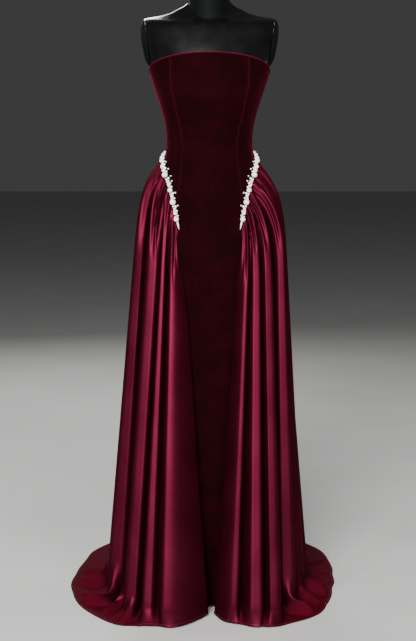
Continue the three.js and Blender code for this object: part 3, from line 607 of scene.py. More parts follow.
zipper = {
    "width": 3, "topZ": 1272, "sliderZ": 1260, "sliderHalf": 6, "pitch": 1.5, "tooth": (1.9, 1.0, 0.85),
    "tapeSink": 0.9, "toothSink": 0.7,
}
centreFrontPanel()
for side, word in bothSides:
    bodicePanel(f"side_front_{word}", side, 60, panelAngle, sideSeam)
    bodicePanel(f"side_back_{word}", side, 56, sideSeam, backPanelSeam)
    bodicePanel(f"centre_back_{word}", side, 36, backPanelSeam, zipEdge)
print("velvet panels made")


# Satin side skirts

satinCloth = {
    "thickness": 0.8,
    "hipDrop": 240,
    "hipClearance": 3.5,
    "highZ": 755,  # the folds' places are given at these two heights
    "lowZ": 45,
    "ridgeHeel": 58,
    "valleyHeel": 30,
    "frontHeel": 45,
    "frontHem": 5,
    "floorHem": 1.2,
    "edgeDip": 7,
    "crown": 5.2,  # higher is a flatter crown with steeper sides
    "flankCrown": 1.75,
    "lobeColumns": 32,
    "halfFold": 16,
    "upperRows": 84,
    "lowerRows": 54,
    "floorRows": 34,
    "lipShare": 0.4,  # share of the way round the front lobe at which it passes the lip
    "trainFrom": (300, 40),  # how far out a hem counts as train, and over what distance it starts to
    "flatFrom": (0.3, 0.7),  # the normal's height where the cloth starts to lie flat, and how much more
    "flatMost": 0.9,
    "seamFade": 6,  # creases grow over this distance below the seam
    "hemRise": 0.5,
    "hemFold": (4.0, 1.2),  # where the turned hem's thickness ends, and over what distance
    "hemInsets": (9, 6.4, 5.4, 4.8, 3.4, 1.6, 0.5, 0),  # rows near the edge, from inside out
    "stitchRow": -5,  # the row that is 4.8 in from the edge
    "stitches": dict(pitch=3.0, length=2.1, radius=0.28, lift=0.2),
    "firstGather": 0.62,
    "gatherFade": 7,
    # Gathers at the seam, taken in turn: steps along the skirt, lengths, half widths and depths
    "gathers": dict(step=(0.50, 0.60, 0.44, 0.56), foot=(170, 105, 215, 130, 150, 90, 190),
                    width=(5.6, 4.8, 6.2, 5.2, 5.8), depth=(5.0, 3.6, 5.6, 4.2, 4.6, 3.4, 5.2)),
    "cut": dict(front=dict(flat=(0.64, 1.28), area=0.56), back=dict(flat=(0.86, 1.62), area=0.68)),
}
# Folds from the front to the back. A row is a ridge and the valley before it, each with its angle and
# radius high up and low down, the way the ridge faces, then its place on the seam, where its hem ends
# and if it lies down
backEnd = dict(seam=1, edge=180, edgeR=604, floor=1, face=180, ridge=(180, 148, 180, 270),
               valley=(180, 148, 180, 270))
leftSkirt = {
    "sideFold": 4,
    "lip": table("z x proud", [
        (49, 5, 66), (188, 15, 56), (284, 23, 45), (404, 31, 32), (525, 39, 21), (646, 47, 13),
        (767, 57, 7), (815, 63, 6.5), (880, 71, 5.5), (935, 79, 4),
    ]),
    "folds": table("ridge valley face seam edge edgeR floor", [
        ((31.4, 173, 18.5, 318), (31, 160, 17, 310), 1, 0.105, 17.6, 322, 0),
        ((41.4, 178, 28.8, 310), (45.4, 146, 28.4, 262), 8, 0.24, 28, 332, 0),
        ((50.4, 186, 40.2, 292), (52.0, 157, 42.0, 239), 14, 0.36, 40, 356, 1),
        ((63.5, 199, 61.0, 272), (69.0, 172, 62.0, 226), 20, 0.49, 72, 350, 1),
        ((90, 200, 98, 266), (82, 193, 80, 250), 92, 0.63, 98, 366, 1),
        ((112, 191, 119, 284), (101, 166, 108, 218), 112, 0.73, 120, 405, 1),
        ((131, 178, 137, 296), (122, 154, 128, 222), 131, 0.82, 137, 478, 1),
        ((148, 169, 152, 305), (139, 146, 145, 230), 148, 0.9, 153, 545, 1),
        ((165, 163, 167, 310), (157, 142, 160, 236), 165, 0.965, 168, 590, 1),
    ]),
    # Single creases: fold and drift count ridges round the skirt (0 is the front ridge), top and foot are
    # distances below the seam, a negative depth is a ridge
    "creases": table("fold drift top foot width depth", [
        (-0.36, 0.10, 2, 150, 3.6, 4.0), (-0.06, 0.04, 2, 175, 3.8, 5.0),
        (1.75, 0.10, 20, 190, 5.5, 6.0), (2.15, -0.06, 30, 210, 5.5, 7.0),
        (2.95, 0.08, 30, 240, 7.0, 6.0),
    ]),
    # Creases of the train: fold and drift again, start and end are distances in from the hem's edge
    "train": table("fold drift start end width depth", [
        (1.90, 0.10, 12, 96, 10, -9), (2.40, 0.20, 12, 120, 12, -18),
        (2.98, 0.05, 10, 175, 16, -27), (3.42, -0.12, 16, 130, 13, -13),
        (3.95, -0.10, 14, 160, 16, -21), (4.65, 0.15, 14, 150, 16, -15),
        (5.50, -0.20, 20, 200, 18, -11), (6.40, 0.15, 14, 220, 18, -12),
        (7.30, -0.10, 26, 260, 20, -11), (8.20, 0.10, 16, 250, 18, -12),
    ]),
}
rightSkirt = {
    "sideFold": 5,
    "lip": table("z x proud", [
        (49, 14, 62), (188, 24.5, 52), (284, 31.5, 42), (404, 41, 30), (525, 49, 20), (646, 56, 12),
        (767, 63, 7), (815, 65, 6.5), (880, 71, 5.5), (935, 79, 4),
    ]),
    "folds": table("ridge valley face seam edge edgeR floor", [
        ((30.6, 168, 11.6, 276), (31, 160, 9.5, 264), 2, 0.075, 9.5, 272, 0),
        ((40.3, 175, 20.4, 315), (42.0, 142, 18.4, 236), 8, 0.15, 20, 322, 0),
        ((49.4, 185, 27.4, 320), (53.8, 157, 29.4, 264), 14, 0.22, 27, 336, 0),
        ((61.4, 202, 46.8, 262), (68.0, 168, 47.6, 220), 10, 0.34, 51.5, 334, 1),
        ((86, 201, 84, 243), (78.5, 191, 67.5, 230), 88, 0.48, 80, 316, 1),
        ((104, 198, 106, 264), (95, 172, 96, 208), 104, 0.64, 103, 338, 1),
        ((121, 187, 124, 284), (113, 162, 115, 216), 121, 0.73, 120, 385, 1),
        ((138, 176, 140, 297), (129, 152, 132, 224), 138, 0.82, 139, 476, 1),
        ((153, 168, 155, 306), (145, 146, 148, 232), 153, 0.9, 154, 540, 1),
        ((168, 162, 169, 310), (160, 142, 162, 238), 168, 0.965, 168, 588, 1),
    ]),
    "creases": table("fold drift top foot width depth", [
        (-0.34, 0.08, 2, 140, 3.6, 4.0), (-0.04, 0.02, 2, 165, 3.6, 5.0),
        (1.06, 0.02, 2, 120, 4.2, 6.5), (2.10, 0.05, 10, 150, 5.0, 5.5),
        (2.85, 0.10, 20, 190, 5.5, 6.0), (3.30, 0.10, 30, 230, 6.5, 6.5),
    ]),
    "train": table("fold drift start end width depth", [
        (3.04, 0.04, 10, 130, 14, -25), (3.55, 0.10, 18, 110, 12, -13),
        (4.10, -0.12, 12, 120, 14, -18), (4.62, -0.20, 18, 130, 14, -16),
        (5.50, 0.15, 16, 130, 16, -9), (6.45, -0.20, 20, 190, 18, -11),
        (7.40, 0.15, 14, 220, 18, -12), (8.35, -0.10, 26, 260, 20, -11),
        (9.20, 0.10, 16, 250, 18, -12),
    ]),
}


def seamShares():
    angles = np.append(np.arange(seamStart, math.pi, degree), math.pi)
    points = bodyPoint(angles, seamZ(angles))
    total = runLength(points)
    rows = [dict(share=s, angle=a) for s, a in zip(total / total[-1], angles)]
    return curve(rows, "share", "angle"), total[-1]


seamAngleAt, seamLength = seamShares()


def polar(angle, radius):
    return np.stack([radius * np.sin(angle), -radius * np.cos(angle)], -1)


def smoothStep(t):
    t = np.clip(t, 0, 1)
    return t * t * (3 - 2 * t)


# Every column of points down one skirt, as arrays; fold is -1 at the free front edge, 0 on the
# first ridge, and the number of folds at the centre back
def fallLines(folds):
    half = satinCloth["halfFold"]
    lobes = satinCloth["lobeColumns"]
    inner = np.arange((len(folds) - 1) * 2 * half) / (2 * half)
    last = len(folds) - 1 + np.arange(half + 1) / half
    fold = np.concatenate([np.arange(lobes) / lobes - 1, inner, last])
    rows = [dict(row, count=i) for i, row in enumerate([*folds, backEnd])]
    after = np.clip(np.floor(fold).astype(int) + 1, 0, len(folds))
    across = fold + 1 - after
    middle = np.where(after == len(folds), 1, 0.5)
    near = across <= middle
    lobe = fold < 0
    owner = np.where(lobe, 0, np.where(near, np.maximum(after - 1, 0), after))
    frontHem, floorHem, heel = (satinCloth[key] for key in ("frontHem", "floorHem", "frontHeel"))

    def between(key):
        return curve(rows, "count", key)(np.maximum(fold, 0))

    t = np.where(near, 1 - across / middle, (across - middle) / np.maximum(1 - middle, 1e-6))
    t = np.where(lobe, 1, np.clip(t, 0, 1))
    height = (1 - np.cos(np.pi * t**0.75)) / 2
    ridges = np.array([row["ridge"] for row in rows], float)
    valleys = np.array([row["valley"] for row in rows], float)
    faces = np.array([row["face"] for row in rows], float)
    lies = np.interp(np.maximum(fold, 0), np.arange(len(rows)), [row["floor"] for row in rows])
    trainStart, trainBlend = satinCloth["trainFrom"]
    train = np.clip((between("edgeR") - trainStart) / trainBlend, 0, 1) * lies
    low = satinCloth["valleyHeel"] + (satinCloth["ridgeHeel"] - satinCloth["valleyHeel"]) * height
    return {
        "fold": fold,
        "lobe": lobe,
        "share": np.where(lobe, fold + 1, 1),
        "seam": np.where(lobe, folds[0]["seam"] * (fold + 1), between("seam")),
        "t": t,
        "ridge": ridges[owner],
        "valley": valleys[np.where(lobe, 0, after)],
        "face": faces[owner] * degree,
        "edge": between("edge") * degree,
        "edgeR": between("edgeR") - satinCloth["edgeDip"] * (1 - height) * (1 - train * 0.6),
        "heel": heel + (low - heel) * train,
        "endZ": frontHem + (floorHem - frontHem) * smoothStep(lies * 4),
        "drop": 1 + (2.5 - 1.3 * height) * train,
    }


def hipReach(plan, z):
    depth = np.where(plan[..., 1] < 0, bodyFront(z), bodyBack(z))
    reach = np.linalg.norm(plan, axis=-1)
    return reach / np.maximum(np.hypot(plan[..., 0] / bodyHalf(z), plan[..., 1] / depth), 1e-9)


def pointAt(places, z):
    share = ((satinCloth["highZ"] - z) / (satinCloth["highZ"] - satinCloth["lowZ"]))[..., None]
    high = polar(places[..., 0] * degree, places[..., 1])
    low = polar(places[..., 2] * degree, places[..., 3])
    return high * (1 - share) + low * share


# From one place to another in plan, steeply outwards at first and then over a flatter crown
def crowned(start, end, out, t, crown):
    rise = ((end - start) * out).sum(-1, keepdims=True)
    aside = end - start - out * rise
    return start + out * rise * (1 - (1 - t) ** crown) + aside * t


# The plan of the columns at their heights: broad pipes that meet in narrow valleys
def fallPlan(line, z):
    ridge, valley = pointAt(line["ridge"], z), pointAt(line["valley"], z)
    return crowned(valley, ridge, polar(line["face"], 1), line["t"][:, None], satinCloth["crown"])


# The free edge in plan: from the panel's edge out to the lip, then up a steep flank to the first ridge
def lobePlan(share, z, lip, ridge, face):
    held = np.minimum(z, seamTipZ)
    start = bodyPoint(panelAngle(held), held)[..., :2]
    x = lip["x"](z)
    front = -bodyFront(z) * np.sqrt(1 - (x / bodyHalf(z)) ** 2)
    proud = lip["proud"](z)
    lipPoint = np.stack([x, front - proud], -1)
    out = polar(face, 1)
    under = lipPoint - out * (0.5 * proud)[:, None]
    at = satinCloth["lipShare"]
    t = np.clip(share / at, 0, 1)[..., None]
    inner = start * (1 - t) ** 2 + under * 2 * t * (1 - t) + lipPoint * t**2
    t = np.clip((share - at) / (1 - at), 0, 1)[..., None]
    flank = crowned(lipPoint, ridge, out, t, satinCloth["flankCrown"])
    return np.where(share[..., None] < at, inner, flank)


def satinGrid(skirt):
    line = fallLines(skirt["folds"])
    lip = {key: curve(skirt["lip"], "z", key) for key in ("x", "proud")}
    columns = len(line["fold"])
    angle = seamAngleAt(line["seam"])
    top = seamZ(angle)
    startZ = top - np.where(np.arange(columns) == 0, 0, seamShift(angle))
    start = bodyPoint(angle, startZ)[:, :2]
    first = satinCloth["lobeColumns"]
    ridge = np.repeat(line["ridge"][first:first + 1], columns, 0)

    def plan(z):
        lobed = lobePlan(line["share"], z, lip, pointAt(ridge, z), line["face"][first])
        return np.where(line["lobe"][:, None], lobed, fallPlan(line, z))

    rows = []
    for step in np.linspace(0, 1, satinCloth["upperRows"]) ** 1.5:
        z = startZ - satinCloth["hipDrop"] * step
        held = np.minimum(z, seamTipZ)
        edge = bodyPoint(panelAngle(held), held)
        tip = bodyPoint(panelAngle(seamTipZ), seamTipZ)
        turn = np.arctan2(edge[:, 0], -edge[:, 1]) - math.atan2(tip[0], -tip[1])
        turn = np.where(line["lobe"], turn * (1 - line["share"]), 0)
        here = np.stack([start[:, 0] * np.cos(turn) - start[:, 1] * np.sin(turn),
                         start[:, 0] * np.sin(turn) + start[:, 1] * np.cos(turn)], -1)
        here = unit(here) * hipReach(here, z)[:, None]
        point = here + (plan(z) - here) * (1 - (1 - step) ** 3)
        least = hipReach(point, z) + satinCloth["hipClearance"] * min(1, step / 0.1) * line["share"]
        point *= np.maximum(1, least / np.linalg.norm(point, axis=-1))[:, None]
        rows.append(np.column_stack([point, z]))
    hipZ = startZ - satinCloth["hipDrop"]
    for step in np.linspace(0, 1, satinCloth["lowerRows"] + 1)[1:]:
        z = hipZ + (line["heel"] - hipZ) * step
        rows.append(np.column_stack([plan(z), z]))
    for step in np.linspace(0, 1, satinCloth["floorRows"] + 1)[1:]:
        z = line["endZ"] + (line["heel"] - line["endZ"]) * (1 - step) ** line["drop"]
        spread = step**1.6
        heel = plan(line["heel"])
        lying = heel + (polar(line["edge"], line["edgeR"]) - heel) * spread
        flare = line["edgeR"] / line["ridge"][:, 3] - 1
        hanging = plan(z) * (1 + line["share"] * spread * flare)[:, None]
        hanging += (lying[first] - hanging[first]) * line["share"][:, None]
        rows.append(np.column_stack([np.where(line["lobe"][:, None], hanging, lying), z]))
    return line, np.array(rows)


# Evens the columns out a little, so that ridges and valleys run smoothly into each other
def evened(grid, first):
    smooth = grid.copy()
    for _ in range(2):
        inner = smooth[:, first + 1:-1]
        smooth[:, first + 1:-1] = 0.5 * inner + 0.25 * (smooth[:, first:-2] + smooth[:, first + 2:])
    return smooth


# Height of the given creases over one skirt's grid; reach is the distance down or in from the hem
def creaseHeights(creases, line, around, reach, startKey, endKey):
    total = np.zeros_like(around)
    columns = np.arange(len(line["fold"]))
    rows = np.arange(len(around))
    for crease in creases:
        nearest = int(np.argmin(np.abs(line["fold"] - crease["fold"])))
        share = (reach[:, nearest] - crease[startKey]) / (crease[endKey] - crease[startKey])
        place = np.interp(crease["fold"] + crease["drift"] * np.clip(share, 0, 1), line["fold"], columns)
        low = np.clip(place.astype(int), 0, len(columns) - 2)
        part = place - low
        centre = around[rows, low] * (1 - part) + around[rows, low + 1] * part
        held = np.clip(share, 0, 1)
        fade = np.sin(np.pi * held**0.6) ** 1.2
        if crease.get("sewn"):  # a gather starts at the seam itself
            fade = smoothStep(reach[:, nearest] / satinCloth["gatherFade"]) * (1 - held) ** 1.3
        aside = (around - centre[:, None]) / crease["width"]
        total -= crease["depth"] * fade[:, None] * creaseShape(aside, 0.35)
    return total


# The gathers of one skirt, which run down into the valleys
def gathered(folds):
    cycle = satinCloth["gathers"]
    creases = []
    fold = satinCloth["firstGather"]
    while fold < len(folds) - 0.06:
        taken = {key: values[len(creases) % len(values)] for key, values in cycle.items()}
        drift = 0.2 * (math.floor(fold) + 0.5 - fold)
        creases.append(dict(taken, fold=fold, drift=drift, top=0, sewn=True))
        fold += taken["step"]
    return creases


# Rows set again near the edge, so that the turned hem has its own width all round
def withHemRows(grid):
    down = lengths(grid, 0)
    first = satinCloth["upperRows"] + satinCloth["lowerRows"]
    insets = satinCloth["hemInsets"]
    kept = satinCloth["floorRows"] - len(insets)
    result = grid.copy()
    for j in range(grid.shape[1]):
        total = down[-1, j]
        steps = np.linspace(down[first - 1, j], total - insets[0], kept + 1)[1:]
        wanted = np.concatenate([steps, total - np.array(insets)])
        for axis in range(3):
            result[first:, j, axis] = np.interp(wanted, down[:, j], grid[:, j, axis])
    return result


def stitchLine(name, path, normals, pitch, length, radius, lift):
    along = runLength(path)
    count = int(along[-1] / pitch)
    middles = (np.arange(count) + 0.5) * pitch

    def at(distance, values):
        return np.stack([np.interp(distance, along, values[:, axis]) for axis in range(3)], -1)

    centre = at(middles, path) + at(middles, normals) * lift
    ahead = unit(at(middles + length / 2, path) - at(middles - length / 2, path)) * length / 2
    up = unit(at(middles, normals)) * radius
    aside = unit(np.cross(ahead, up)) * radius
    corners = np.stack([centre - ahead, centre + up, centre + aside, centre - up, centre - aside,
                        centre + ahead], 1)
    shape = np.array([[0, 2, 1], [0, 3, 2], [0, 4, 3], [0, 1, 4],
                      [5, 1, 2], [5, 2, 3], [5, 3, 4], [5, 4, 1]])
    faces = (np.arange(count)[:, None, None] * 6 + shape).reshape(-1, 3)
    piece = meshObject(name, corners.reshape(-1, 3), faces.tolist())
    return dress(piece, thread)


def finishedGrid(side, skirt):
    line, grid = satinGrid(skirt)
    grid = withHemRows(evened(grid, satinCloth["lobeColumns"]))
    around = lengths(grid, 1)
    down = lengths(grid, 0)
    fromEdge = down[-1] - down
    creases = gathered(skirt["folds"]) + skirt["creases"]
    puff = creaseHeights(creases, line, around, down, "top", "foot")
    puff += creaseHeights(skirt["train"], line, around, fromEdge, "start", "end")
    hemEnd, hemBlend = satinCloth["hemFold"]
    puff += satinCloth["hemRise"] * (1 - smoothStep((fromEdge - hemEnd) / hemBlend))
    puff *= smoothStep(down / satinCloth["seamFade"])
    puff[:, 0] = 0
    grid[..., 0] *= side
    normals = gridNormals(grid, side)
    grid = grid + normals * puff[..., None]
    grid[..., 2] = np.maximum(grid[..., 2], satinCloth["thickness"] + 0.2)
    grid[:, 0, 0] += side * seamLine["gap"] / 2
    grid[:, -1, 0] = side * velvetCloth["seamGap"] / 2
    return line, grid, normals


def satinSkirt(side, word, skirt):
    line, grid, normals = finishedGrid(side, skirt)
    split = int(np.argmin(np.abs(line["fold"] - (skirt["sideFold"] - 0.5))))
    across = unit(grid[:, split + 1] - grid[:, split - 1]) * velvetCloth["seamGap"] / 2
    flatStart, flatSpan = satinCloth["flatFrom"]
    flat = satinCloth["flatMost"] * smoothStep((normals[..., 2] - flatStart) / flatSpan)
    row = satinCloth["stitchRow"]
    for half, columns, sign in (("front", slice(0, split + 1), -1), ("back", slice(split, None), 1)):
        part = grid[:, columns].copy()
        part[:, -1 if sign < 0 else 0] += across * sign
        name = f"satin_{half}_{word}"
        piece = clothShell(pieceName(name), part, side, satinCloth["thickness"], lying=flat[:, columns])
        dress(piece, satin, name)
        sewn = stitchLine(pieceName(f"hem_stitches_{half}_{word}"), part[row], normals[row, columns],
                          **satinCloth["stitches"])


satinSkirt(-1, "left", leftSkirt)
satinSkirt(1, "right", rightSkirt)
print("satin skirts made")


# Pearl string along the seam

pearlTrim = {
    "inset": 6,
    "lift": 0.7,
    "smallLift": 0.4,
    "stick": dict(length=22, size=5.6),
    "pearls": table("along size", [
        (26, 13), (41, 10), (52, 7.5), (68, 14.7), (83, 8), (98, 12.6), (110, 8.5), (121, 8.5),
        (139, 14.7), (153, 10.5), (166, 11.7), (178, 8), (190, 11.7), (205, 11), (220, 10),
        (232, 9), (243, 8), (252, 7),
    ]),
    # Smaller pearls that fill the string: distance along it, and how far up onto the velvet
    "seeds": table("along away size", [
        (34, 3.0, 6.0), (33, -3.2, 5.0), (47, -2.4, 5.8), (46, 3.6, 5.0), (57, 3.2, 6.4),
        (59, -2.8, 5.6), (77, 3.8, 5.8), (77, -2.6, 6.2), (89, 3.4, 6.4), (90, -2.6, 5.4),
        (105, 3.6, 5.8), (104, -3.4, 5.2), (115, 3.4, 6.2), (116, -2.8, 5.6), (128, 3.2, 6.6),
        (129, -2.6, 6.0), (147, 3.8, 6.0), (147, -3.2, 5.6), (159, 3.8, 6.2), (160, -3.2, 5.8),
        (173, 3.2, 6.2), (173, -2.8, 6.0), (184, 3.4, 6.0), (184, -3.0, 5.8), (198, 3.8, 6.2),
        (198, -3.2, 6.0), (213, 3.6, 6.0), (213, -3.0, 5.8), (226, 3.2, 6.0), (227, -2.8, 5.6),
        (238, 2.6, 5.6), (239, -2.4, 5.4),
    ]),
    "strays": table("along away size", [
        (58, 8.6, 3.8), (88, 9.4, 4.2), (118, 8.8, 4.0), (150, 10.2, 4.2), (176, 9.0, 3.8),
        (130, 9.8, 3.4),
    ]),
}


def trimSpot(along, away=0.0):
    angle = seamAngleAt(np.clip(along / seamLength, 0, 1))
    z = seamZ(angle)
    uphill = seamZ(angle + 0.01) - seamZ(angle - 0.01)
    run = np.linalg.norm(bodyPoint(angle + 0.01, z) - bodyPoint(angle - 0.01, z))
    slope = math.atan2(uphill, run)
    inset = pearlTrim["inset"] + away
    moved = angle - angleFor(inset * math.sin(slope), angle, z)
    return moved, z + inset * math.cos(slope)


def modelPearl(segments, rings):
    piece = ball(segments, rings, 0.5)
    resized(piece, (1.0, 1.0, 0.94))
    for vertex in piece.data.vertices:  # dimpled at both ends, as drilled pearls are
        vertex.co.z *= 1 - 0.05 * math.exp(-(vertex.co.xy.length / 0.12) ** 2)
    bpy.ops.object.shade_smooth()
    return piece


def modelStick():
    piece = ball(18, 16, 0.5)
    for vertex in piece.data.vertices:  # a drop: its lower end runs out into a point
        share = vertex.co.z + 0.5
        width = 0.30 + 0.72 * smoothStep(share / 0.9)
        vertex.co.x *= width
        vertex.co.y *= width
    bpy.ops.object.shade_smooth()
    return piece


def placedCopy(pattern, centre, ahead, normal, scale, side):
    copy = copied(pattern)
    aside = np.cross(ahead, normal)
    turn = Matrix((aside, normal, ahead)).transposed()
    turn = turn @ Matrix.Diagonal(Vector(scale)) * mm
    copy.data.transform(Matrix.Translation(Vector(centre) * mm) @ turn.to_4x4())
    if side < 0:
        copy.data.transform(Matrix.Scale(-1, 4, (1, 0, 0)))
        copy.data.flip_normals()
    return copy


def joined(parts, name):
    clearSelection()
    for part in parts:
        part.select_set(True)
    bpy.context.view_layer.objects.active = parts[0]
    bpy.ops.object.join()
    parts[0].name = name
    parts[0].data.name = name
    return parts[0]


def trimFrame(along, away=0.0):
    angle, z = trimSpot(along, away)
    ahead = bodyPoint(*trimSpot(along + 1, away)) - bodyPoint(*trimSpot(max(0, along - 1), away))
    ahead = unit(ahead)
    normal = bodyNormal(angle, z)
    normal = unit(normal - ahead * float(normal @ ahead))
    return bodyPoint(angle, z), ahead, normal


def pearlString(side, word):
    large, small, stick = modelPearl(22, 14), modelPearl(10, 7), modelStick()
    lift, smallLift, drop = pearlTrim["lift"], pearlTrim["smallLift"], pearlTrim["stick"]
    placed = [(large, lift, row["along"], 0, [row["size"]] * 3) for row in pearlTrim["pearls"]]
    placed += [(small, smallLift, row["along"], row["away"], [row["size"]] * 3)
               for row in pearlTrim["seeds"] + pearlTrim["strays"]]
    placed.append((stick, lift, drop["length"] / 2, 0, [drop["size"], drop["size"], drop["length"]]))
    parts = []
    for pattern, height, along, away, scale in placed:
        point, ahead, normal = trimFrame(along, away)
        centre = point + normal * (scale[0] / 2 + height)
        parts.append(placedCopy(pattern, centre, ahead, normal, scale, side))
    for pattern in (large, small, stick):
        bpy.data.objects.remove(pattern)
    dress(joined(parts, pieceName(f"pearls_{word}")), pearl, f"pearl_trim_{word}")


for side, word in bothSides:
    pearlString(side, word)
print("pearls made")


# Dress form: body, neck and arm plates

form = {
    "inset": 3.2,
    "armPlane": dict(x=144, z=1333, lean=0.15, round=3, below=15),
    "armCap": dict(depth=14, halfDepth=40, halfHeight=58, z=1391, y=2, dome=3.2),
    "neckTilt": dict(front=0.88, back=0.3, startZ=1430),
    "neck": dict(topZ=1545, radius=50, y=5, round=3),
    "gap": 0.3,
    "shoulders": table("z half front back", [
        (1370, 160, 90, 84), (1400, 174, 80, 79), (1430, 180, 68, 72), (1443, 174, 61, 67),
        (1451, 158, 57, 64), (1457, 122, 54, 62), (1463, 99, 51, 60), (1471, 82, 49, 58),
        (1479, 65, 47, 56), (1486, 55, 46, 55),
    ]),
    "foot": table("z half front back", [
        (862, 122, 76, 86), (872, 136, 89, 100), (890, 148, 99, 110),
    ]),
    "levels": [912, 935, 965, 1000, 1030, 1060, 1085, 1111, 1129, 1147, 1165, 1184, 1207, 1230,
               1251, 1272, 1296, 1321, 1345],
    "sides": 128,
}
neckSeamZ = form["shoulders"][-1]["z"]


def formRing(z, half, front, back, tipped):
    turn = np.linspace(0, 2 * math.pi, form["sides"], endpoint=False)
    angle = math.pi - np.abs(math.pi - turn)
    swell = bustRise(angle, z)
    depth = np.where(angle < quarter, front, back)
    x = (half + swell) * np.sin(turn)
    y = -(depth + swell) * np.cos(angle)
    plane = form["armPlane"]
    if z > plane["z"] - plane["below"]:  # the arm cut, with a small round at its rim
        small = plane["round"]
        limit = plane["x"] + (z - plane["z"]) * plane["lean"] - small
        over = np.abs(x) - limit
        x = np.where(over > 0, np.sign(x) * (limit + small * np.tanh(np.maximum(over, 0) / small)), x)
    slope = tipped * np.where(y < 0, form["neckTilt"]["front"], form["neckTilt"]["back"])
    return np.stack([x, y, z + slope * y], -1)


def loft(name, rings):
    count = rings.shape[1]
    points = rings.reshape(-1, 3)
    faces = []
    for i in range(len(rings) - 1):
        start = i * count
        faces += [[start + j, start + (j + 1) % count, start + count + (j + 1) % count, start + count + j]
                  for j in range(count)]
    faces.append(list(range(count))[::-1])
    faces.append([len(points) - count + j for j in range(count)])
    return meshObject(name, points, faces)


def formTorso():
    rows = [*form["foot"]]
    rows += [dict(z=z, half=float(bodyHalf(z)) - form["inset"], front=float(bodyFront(z)) - form["inset"],
                  back=float(bodyBack(z)) - form["inset"]) for z in form["levels"]]
    rows += form["shoulders"]
    sized = {key: curve(rows, "z", key) for key in ("half", "front", "back")}
    levels = np.concatenate([np.linspace(862, 890, 6), np.linspace(897, 1370, 80)[:-1],
                             np.linspace(1370, 1440, 18)[:-1], np.linspace(1440, neckSeamZ, 34)])
    start = form["neckTilt"]["startZ"]
    rings = []
    for z in levels:
        tip = float(np.clip((z - start) / (neckSeamZ - start), 0, 1)) ** 1.5
        rings.append(formRing(z, *(float(sized[key](z)) for key in ("half", "front", "back")), tip))
    piece = loft("formBody", np.array(rings))
    smoothBy(piece, 40)
    dress(piece, formGloss, "form_torso")


def formNeck():
    neck = form["neck"]
    radius, small = neck["radius"], neck["round"]
    roundZ = neck["topZ"] - small
    levels = table("z half tip", [
        (neckSeamZ + form["gap"], radius, 1.0), (neckSeamZ + 16, radius - 1, 0.75),
        (neckSeamZ + 36, radius - 1, 0.35), (roundZ, radius, 0.0),
    ])
    half, tip = curve(levels, "z", "half"), curve(levels, "z", "tip")
    heights = np.linspace(levels[0]["z"], levels[-1]["z"], 26)
    rounds = [(z, float(half(z)), float(tip(z))) for z in heights]
    for turn in np.linspace(15, 90, 6) * degree:  # the top edge, rounded over
        rounds.append((roundZ + small * math.sin(turn), radius - small * (1 - math.cos(turn)), 0))
    rings = [formRing(z, size, size - neck["y"], size + neck["y"], tipped) for z, size, tipped in rounds]
    piece = loft("formNeck", np.array(rings))
    smoothBy(piece, 40)
    dress(piece, formMatte, "neck_block")


def armPlate(side, word):
    cap, plane = form["armCap"], form["armPlane"]
    piece = ball(64, 40, 1)
    piece.name = pieceName(f"arm_plate_{word}")
    for vertex in piece.data.vertices:  # flat behind, and domed outside with a round rim
        across = min(1, vertex.co.xy.length)
        rise = (1 - across**cap["dome"]) ** 0.6 - 0.5
        vertex.co.z = rise if vertex.co.z > 0 and across < 1 else -0.5
    resized(piece, (cap["halfDepth"] * mm, cap["halfHeight"] * mm, cap["depth"] * mm))
    lean = math.atan(plane["lean"])
    outward = Vector((side * math.cos(lean), 0, -math.sin(lean)))
    up = Vector((side * math.sin(lean), 0, math.cos(lean)))
    along = up.cross(outward)
    turn = Matrix((along, up, outward)).transposed().to_4x4()
    x = side * (plane["x"] + (cap["z"] - plane["z"]) * plane["lean"])
    spot = Vector((x, cap["y"], cap["z"])) + outward * (form["gap"] + cap["depth"] / 2)
    piece.data.transform(Matrix.Translation(spot * mm) @ turn)
    smoothBy(piece, 35)
    dress(piece, formMatte, f"arm_cap_{word}")


formTorso()
formNeck()
for side, word in bothSides:
    armPlate(side, word)
print("dress form made")


# Zip in the centre back: tape and two rows of teeth; the slider and its pull are the solid ones

def zipTape():
    foot = float(seamZ(math.pi)) + seamLine["gap"]
    heights = np.linspace(zipper["topZ"], foot, 60)[:, None]
    across = np.linspace(1, -1, 7) * zipper["width"] / 2
    back = bodyPoint(math.pi, heights)[..., 1] - zipper["tapeSink"]
    grid = np.stack(np.broadcast_arrays(across, back, heights), -1)
    tape = clothShell("zipTape", grid, 1, 0.5)
    dress(tape, thread)
    return float(heights[-1, 0])


def zipTeeth(foot):
    clearSelection()
    bpy.ops.mesh.primitive_cube_add(size=1)
    tooth = bpy.context.active_object
    resized(tooth, [value * mm for value in zipper["tooth"]])
    applyModifier(tooth, "BEVEL", width=0.2 * mm, segments=1)
    parts = []
    count = int((zipper["topZ"] - 2 - foot) / zipper["pitch"])
    for i in range(count):
        z = foot + 1 + i * zipper["pitch"]
        if abs(z - zipper["sliderZ"]) < zipper["sliderHalf"]:
            continue
        y = float(bodyPoint(math.pi, z)[1]) - zipper["toothSink"]
        for sign in (-1, 1):
            copy = copied(tooth)
            shift = sign * zipper["pitch"] / 4
            copy.data.transform(Matrix.Translation(Vector((sign * 0.5, y, z + shift)) * mm))
            parts.append(copy)
    bpy.data.objects.remove(tooth)
    dress(joined(parts, "zipTeeth"), zipMetal, "zip_chain")


zipTeeth(zipTape())
for node, material in (("zip_slider", zipMetal), ("zip_pull", zipMetal),
                       ("stand_base", standMetal), ("stand_pole", standMetal)):
    painted(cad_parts[node], material)
print("zip and stand made")


# Floor, light and camera

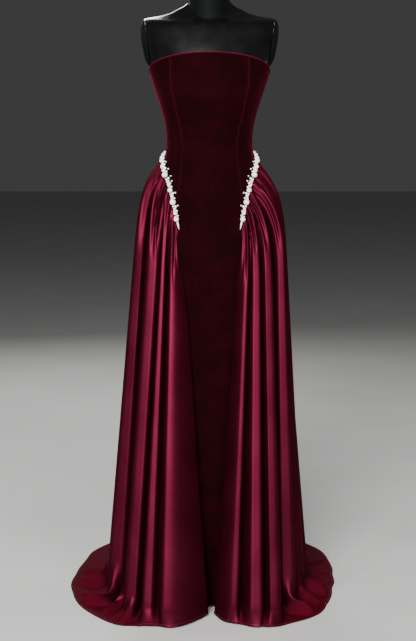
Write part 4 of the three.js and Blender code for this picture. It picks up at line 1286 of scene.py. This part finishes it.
studio = {
    "camera": dict(place=(-0.0038, -3.6, 1.150), pitch=7.1, lens=80.59),
    "floor": (0.56, 0.55, 0.54, 1),
    "world": ((0.62, 0.62, 0.63, 1), 0.08),
    "lights": table("name place aim size power", [
        ("keySoft", (-0.8, -4.5, 2.7), (0, 0, 0.85), (1.6, 1.8), 480),
        ("fillSoft", (1.7, -4.2, 2.0), (0, 0, 0.8), (1.2, 1.8), 115),
        ("sparkLeft", (-1.3, -2.4, 2.0), (-0.07, -0.05, 1.42), (0.22, 0.22), 26),
        ("edgeLeft", (-2.2, 1.3, 2.4), (-0.1, 0, 1.0), (0.6, 1.8), 16),
        ("edgeRight", (2.2, 1.3, 2.0), (0.1, 0, 0.9), (0.6, 1.8), 8),
        ("backSoft", (-0.9, 3.5, 2.7), (0, 0, 0.8), (1.4, 1.8), 75),
    ]),
}


def makeFloor():
    clearSelection()
    bpy.ops.mesh.primitive_plane_add(size=60)
    floor = bpy.context.active_object
    floor.name = "floor"
    look = Look("paleFloor", {"Roughness": 0.75})
    patch = look.remap(look.noise(look.place(), 2.2, 3), 0.3, 0.7, 0, 1)
    pale = studio["floor"]
    darker = tuple(value * 0.94 for value in pale[:3]) + (1,)
    look.feed({"Base Color": look.blend(patch, darker, pale)})
    floor.data.materials.append(look.material)


def makeLight(name, place, aim, size, power):
    data = bpy.data.lights.new(name, "AREA")
    data.shape = "RECTANGLE"
    data.size, data.size_y = size
    data.energy = power
    lamp = linked(bpy.data.objects.new(name, data))
    lamp.location = place
    lamp.rotation_euler = (Vector(aim) - Vector(place)).to_track_quat("-Z", "Y").to_euler()


def makeCamera(place, pitch, lens):
    data = bpy.data.cameras.new("photoCamera")
    data.lens = lens
    data.sensor_width = 36
    camera = linked(bpy.data.objects.new("photoCamera", data))
    camera.location = place
    camera.rotation_euler = ((90 - pitch) * degree, 0, 0)
    bpy.context.scene.camera = camera


def makeWorld(colour, strength):
    world = bpy.data.worlds.new("studioWorld")
    world.use_nodes = True
    background = world.node_tree.nodes["Background"]
    background.inputs["Color"].default_value = colour
    background.inputs["Strength"].default_value = strength
    bpy.context.scene.world = world


makeFloor()
for lamp in studio["lights"]:
    makeLight(**lamp)
makeCamera(**studio["camera"])
makeWorld(*studio["world"])
print("studio made")
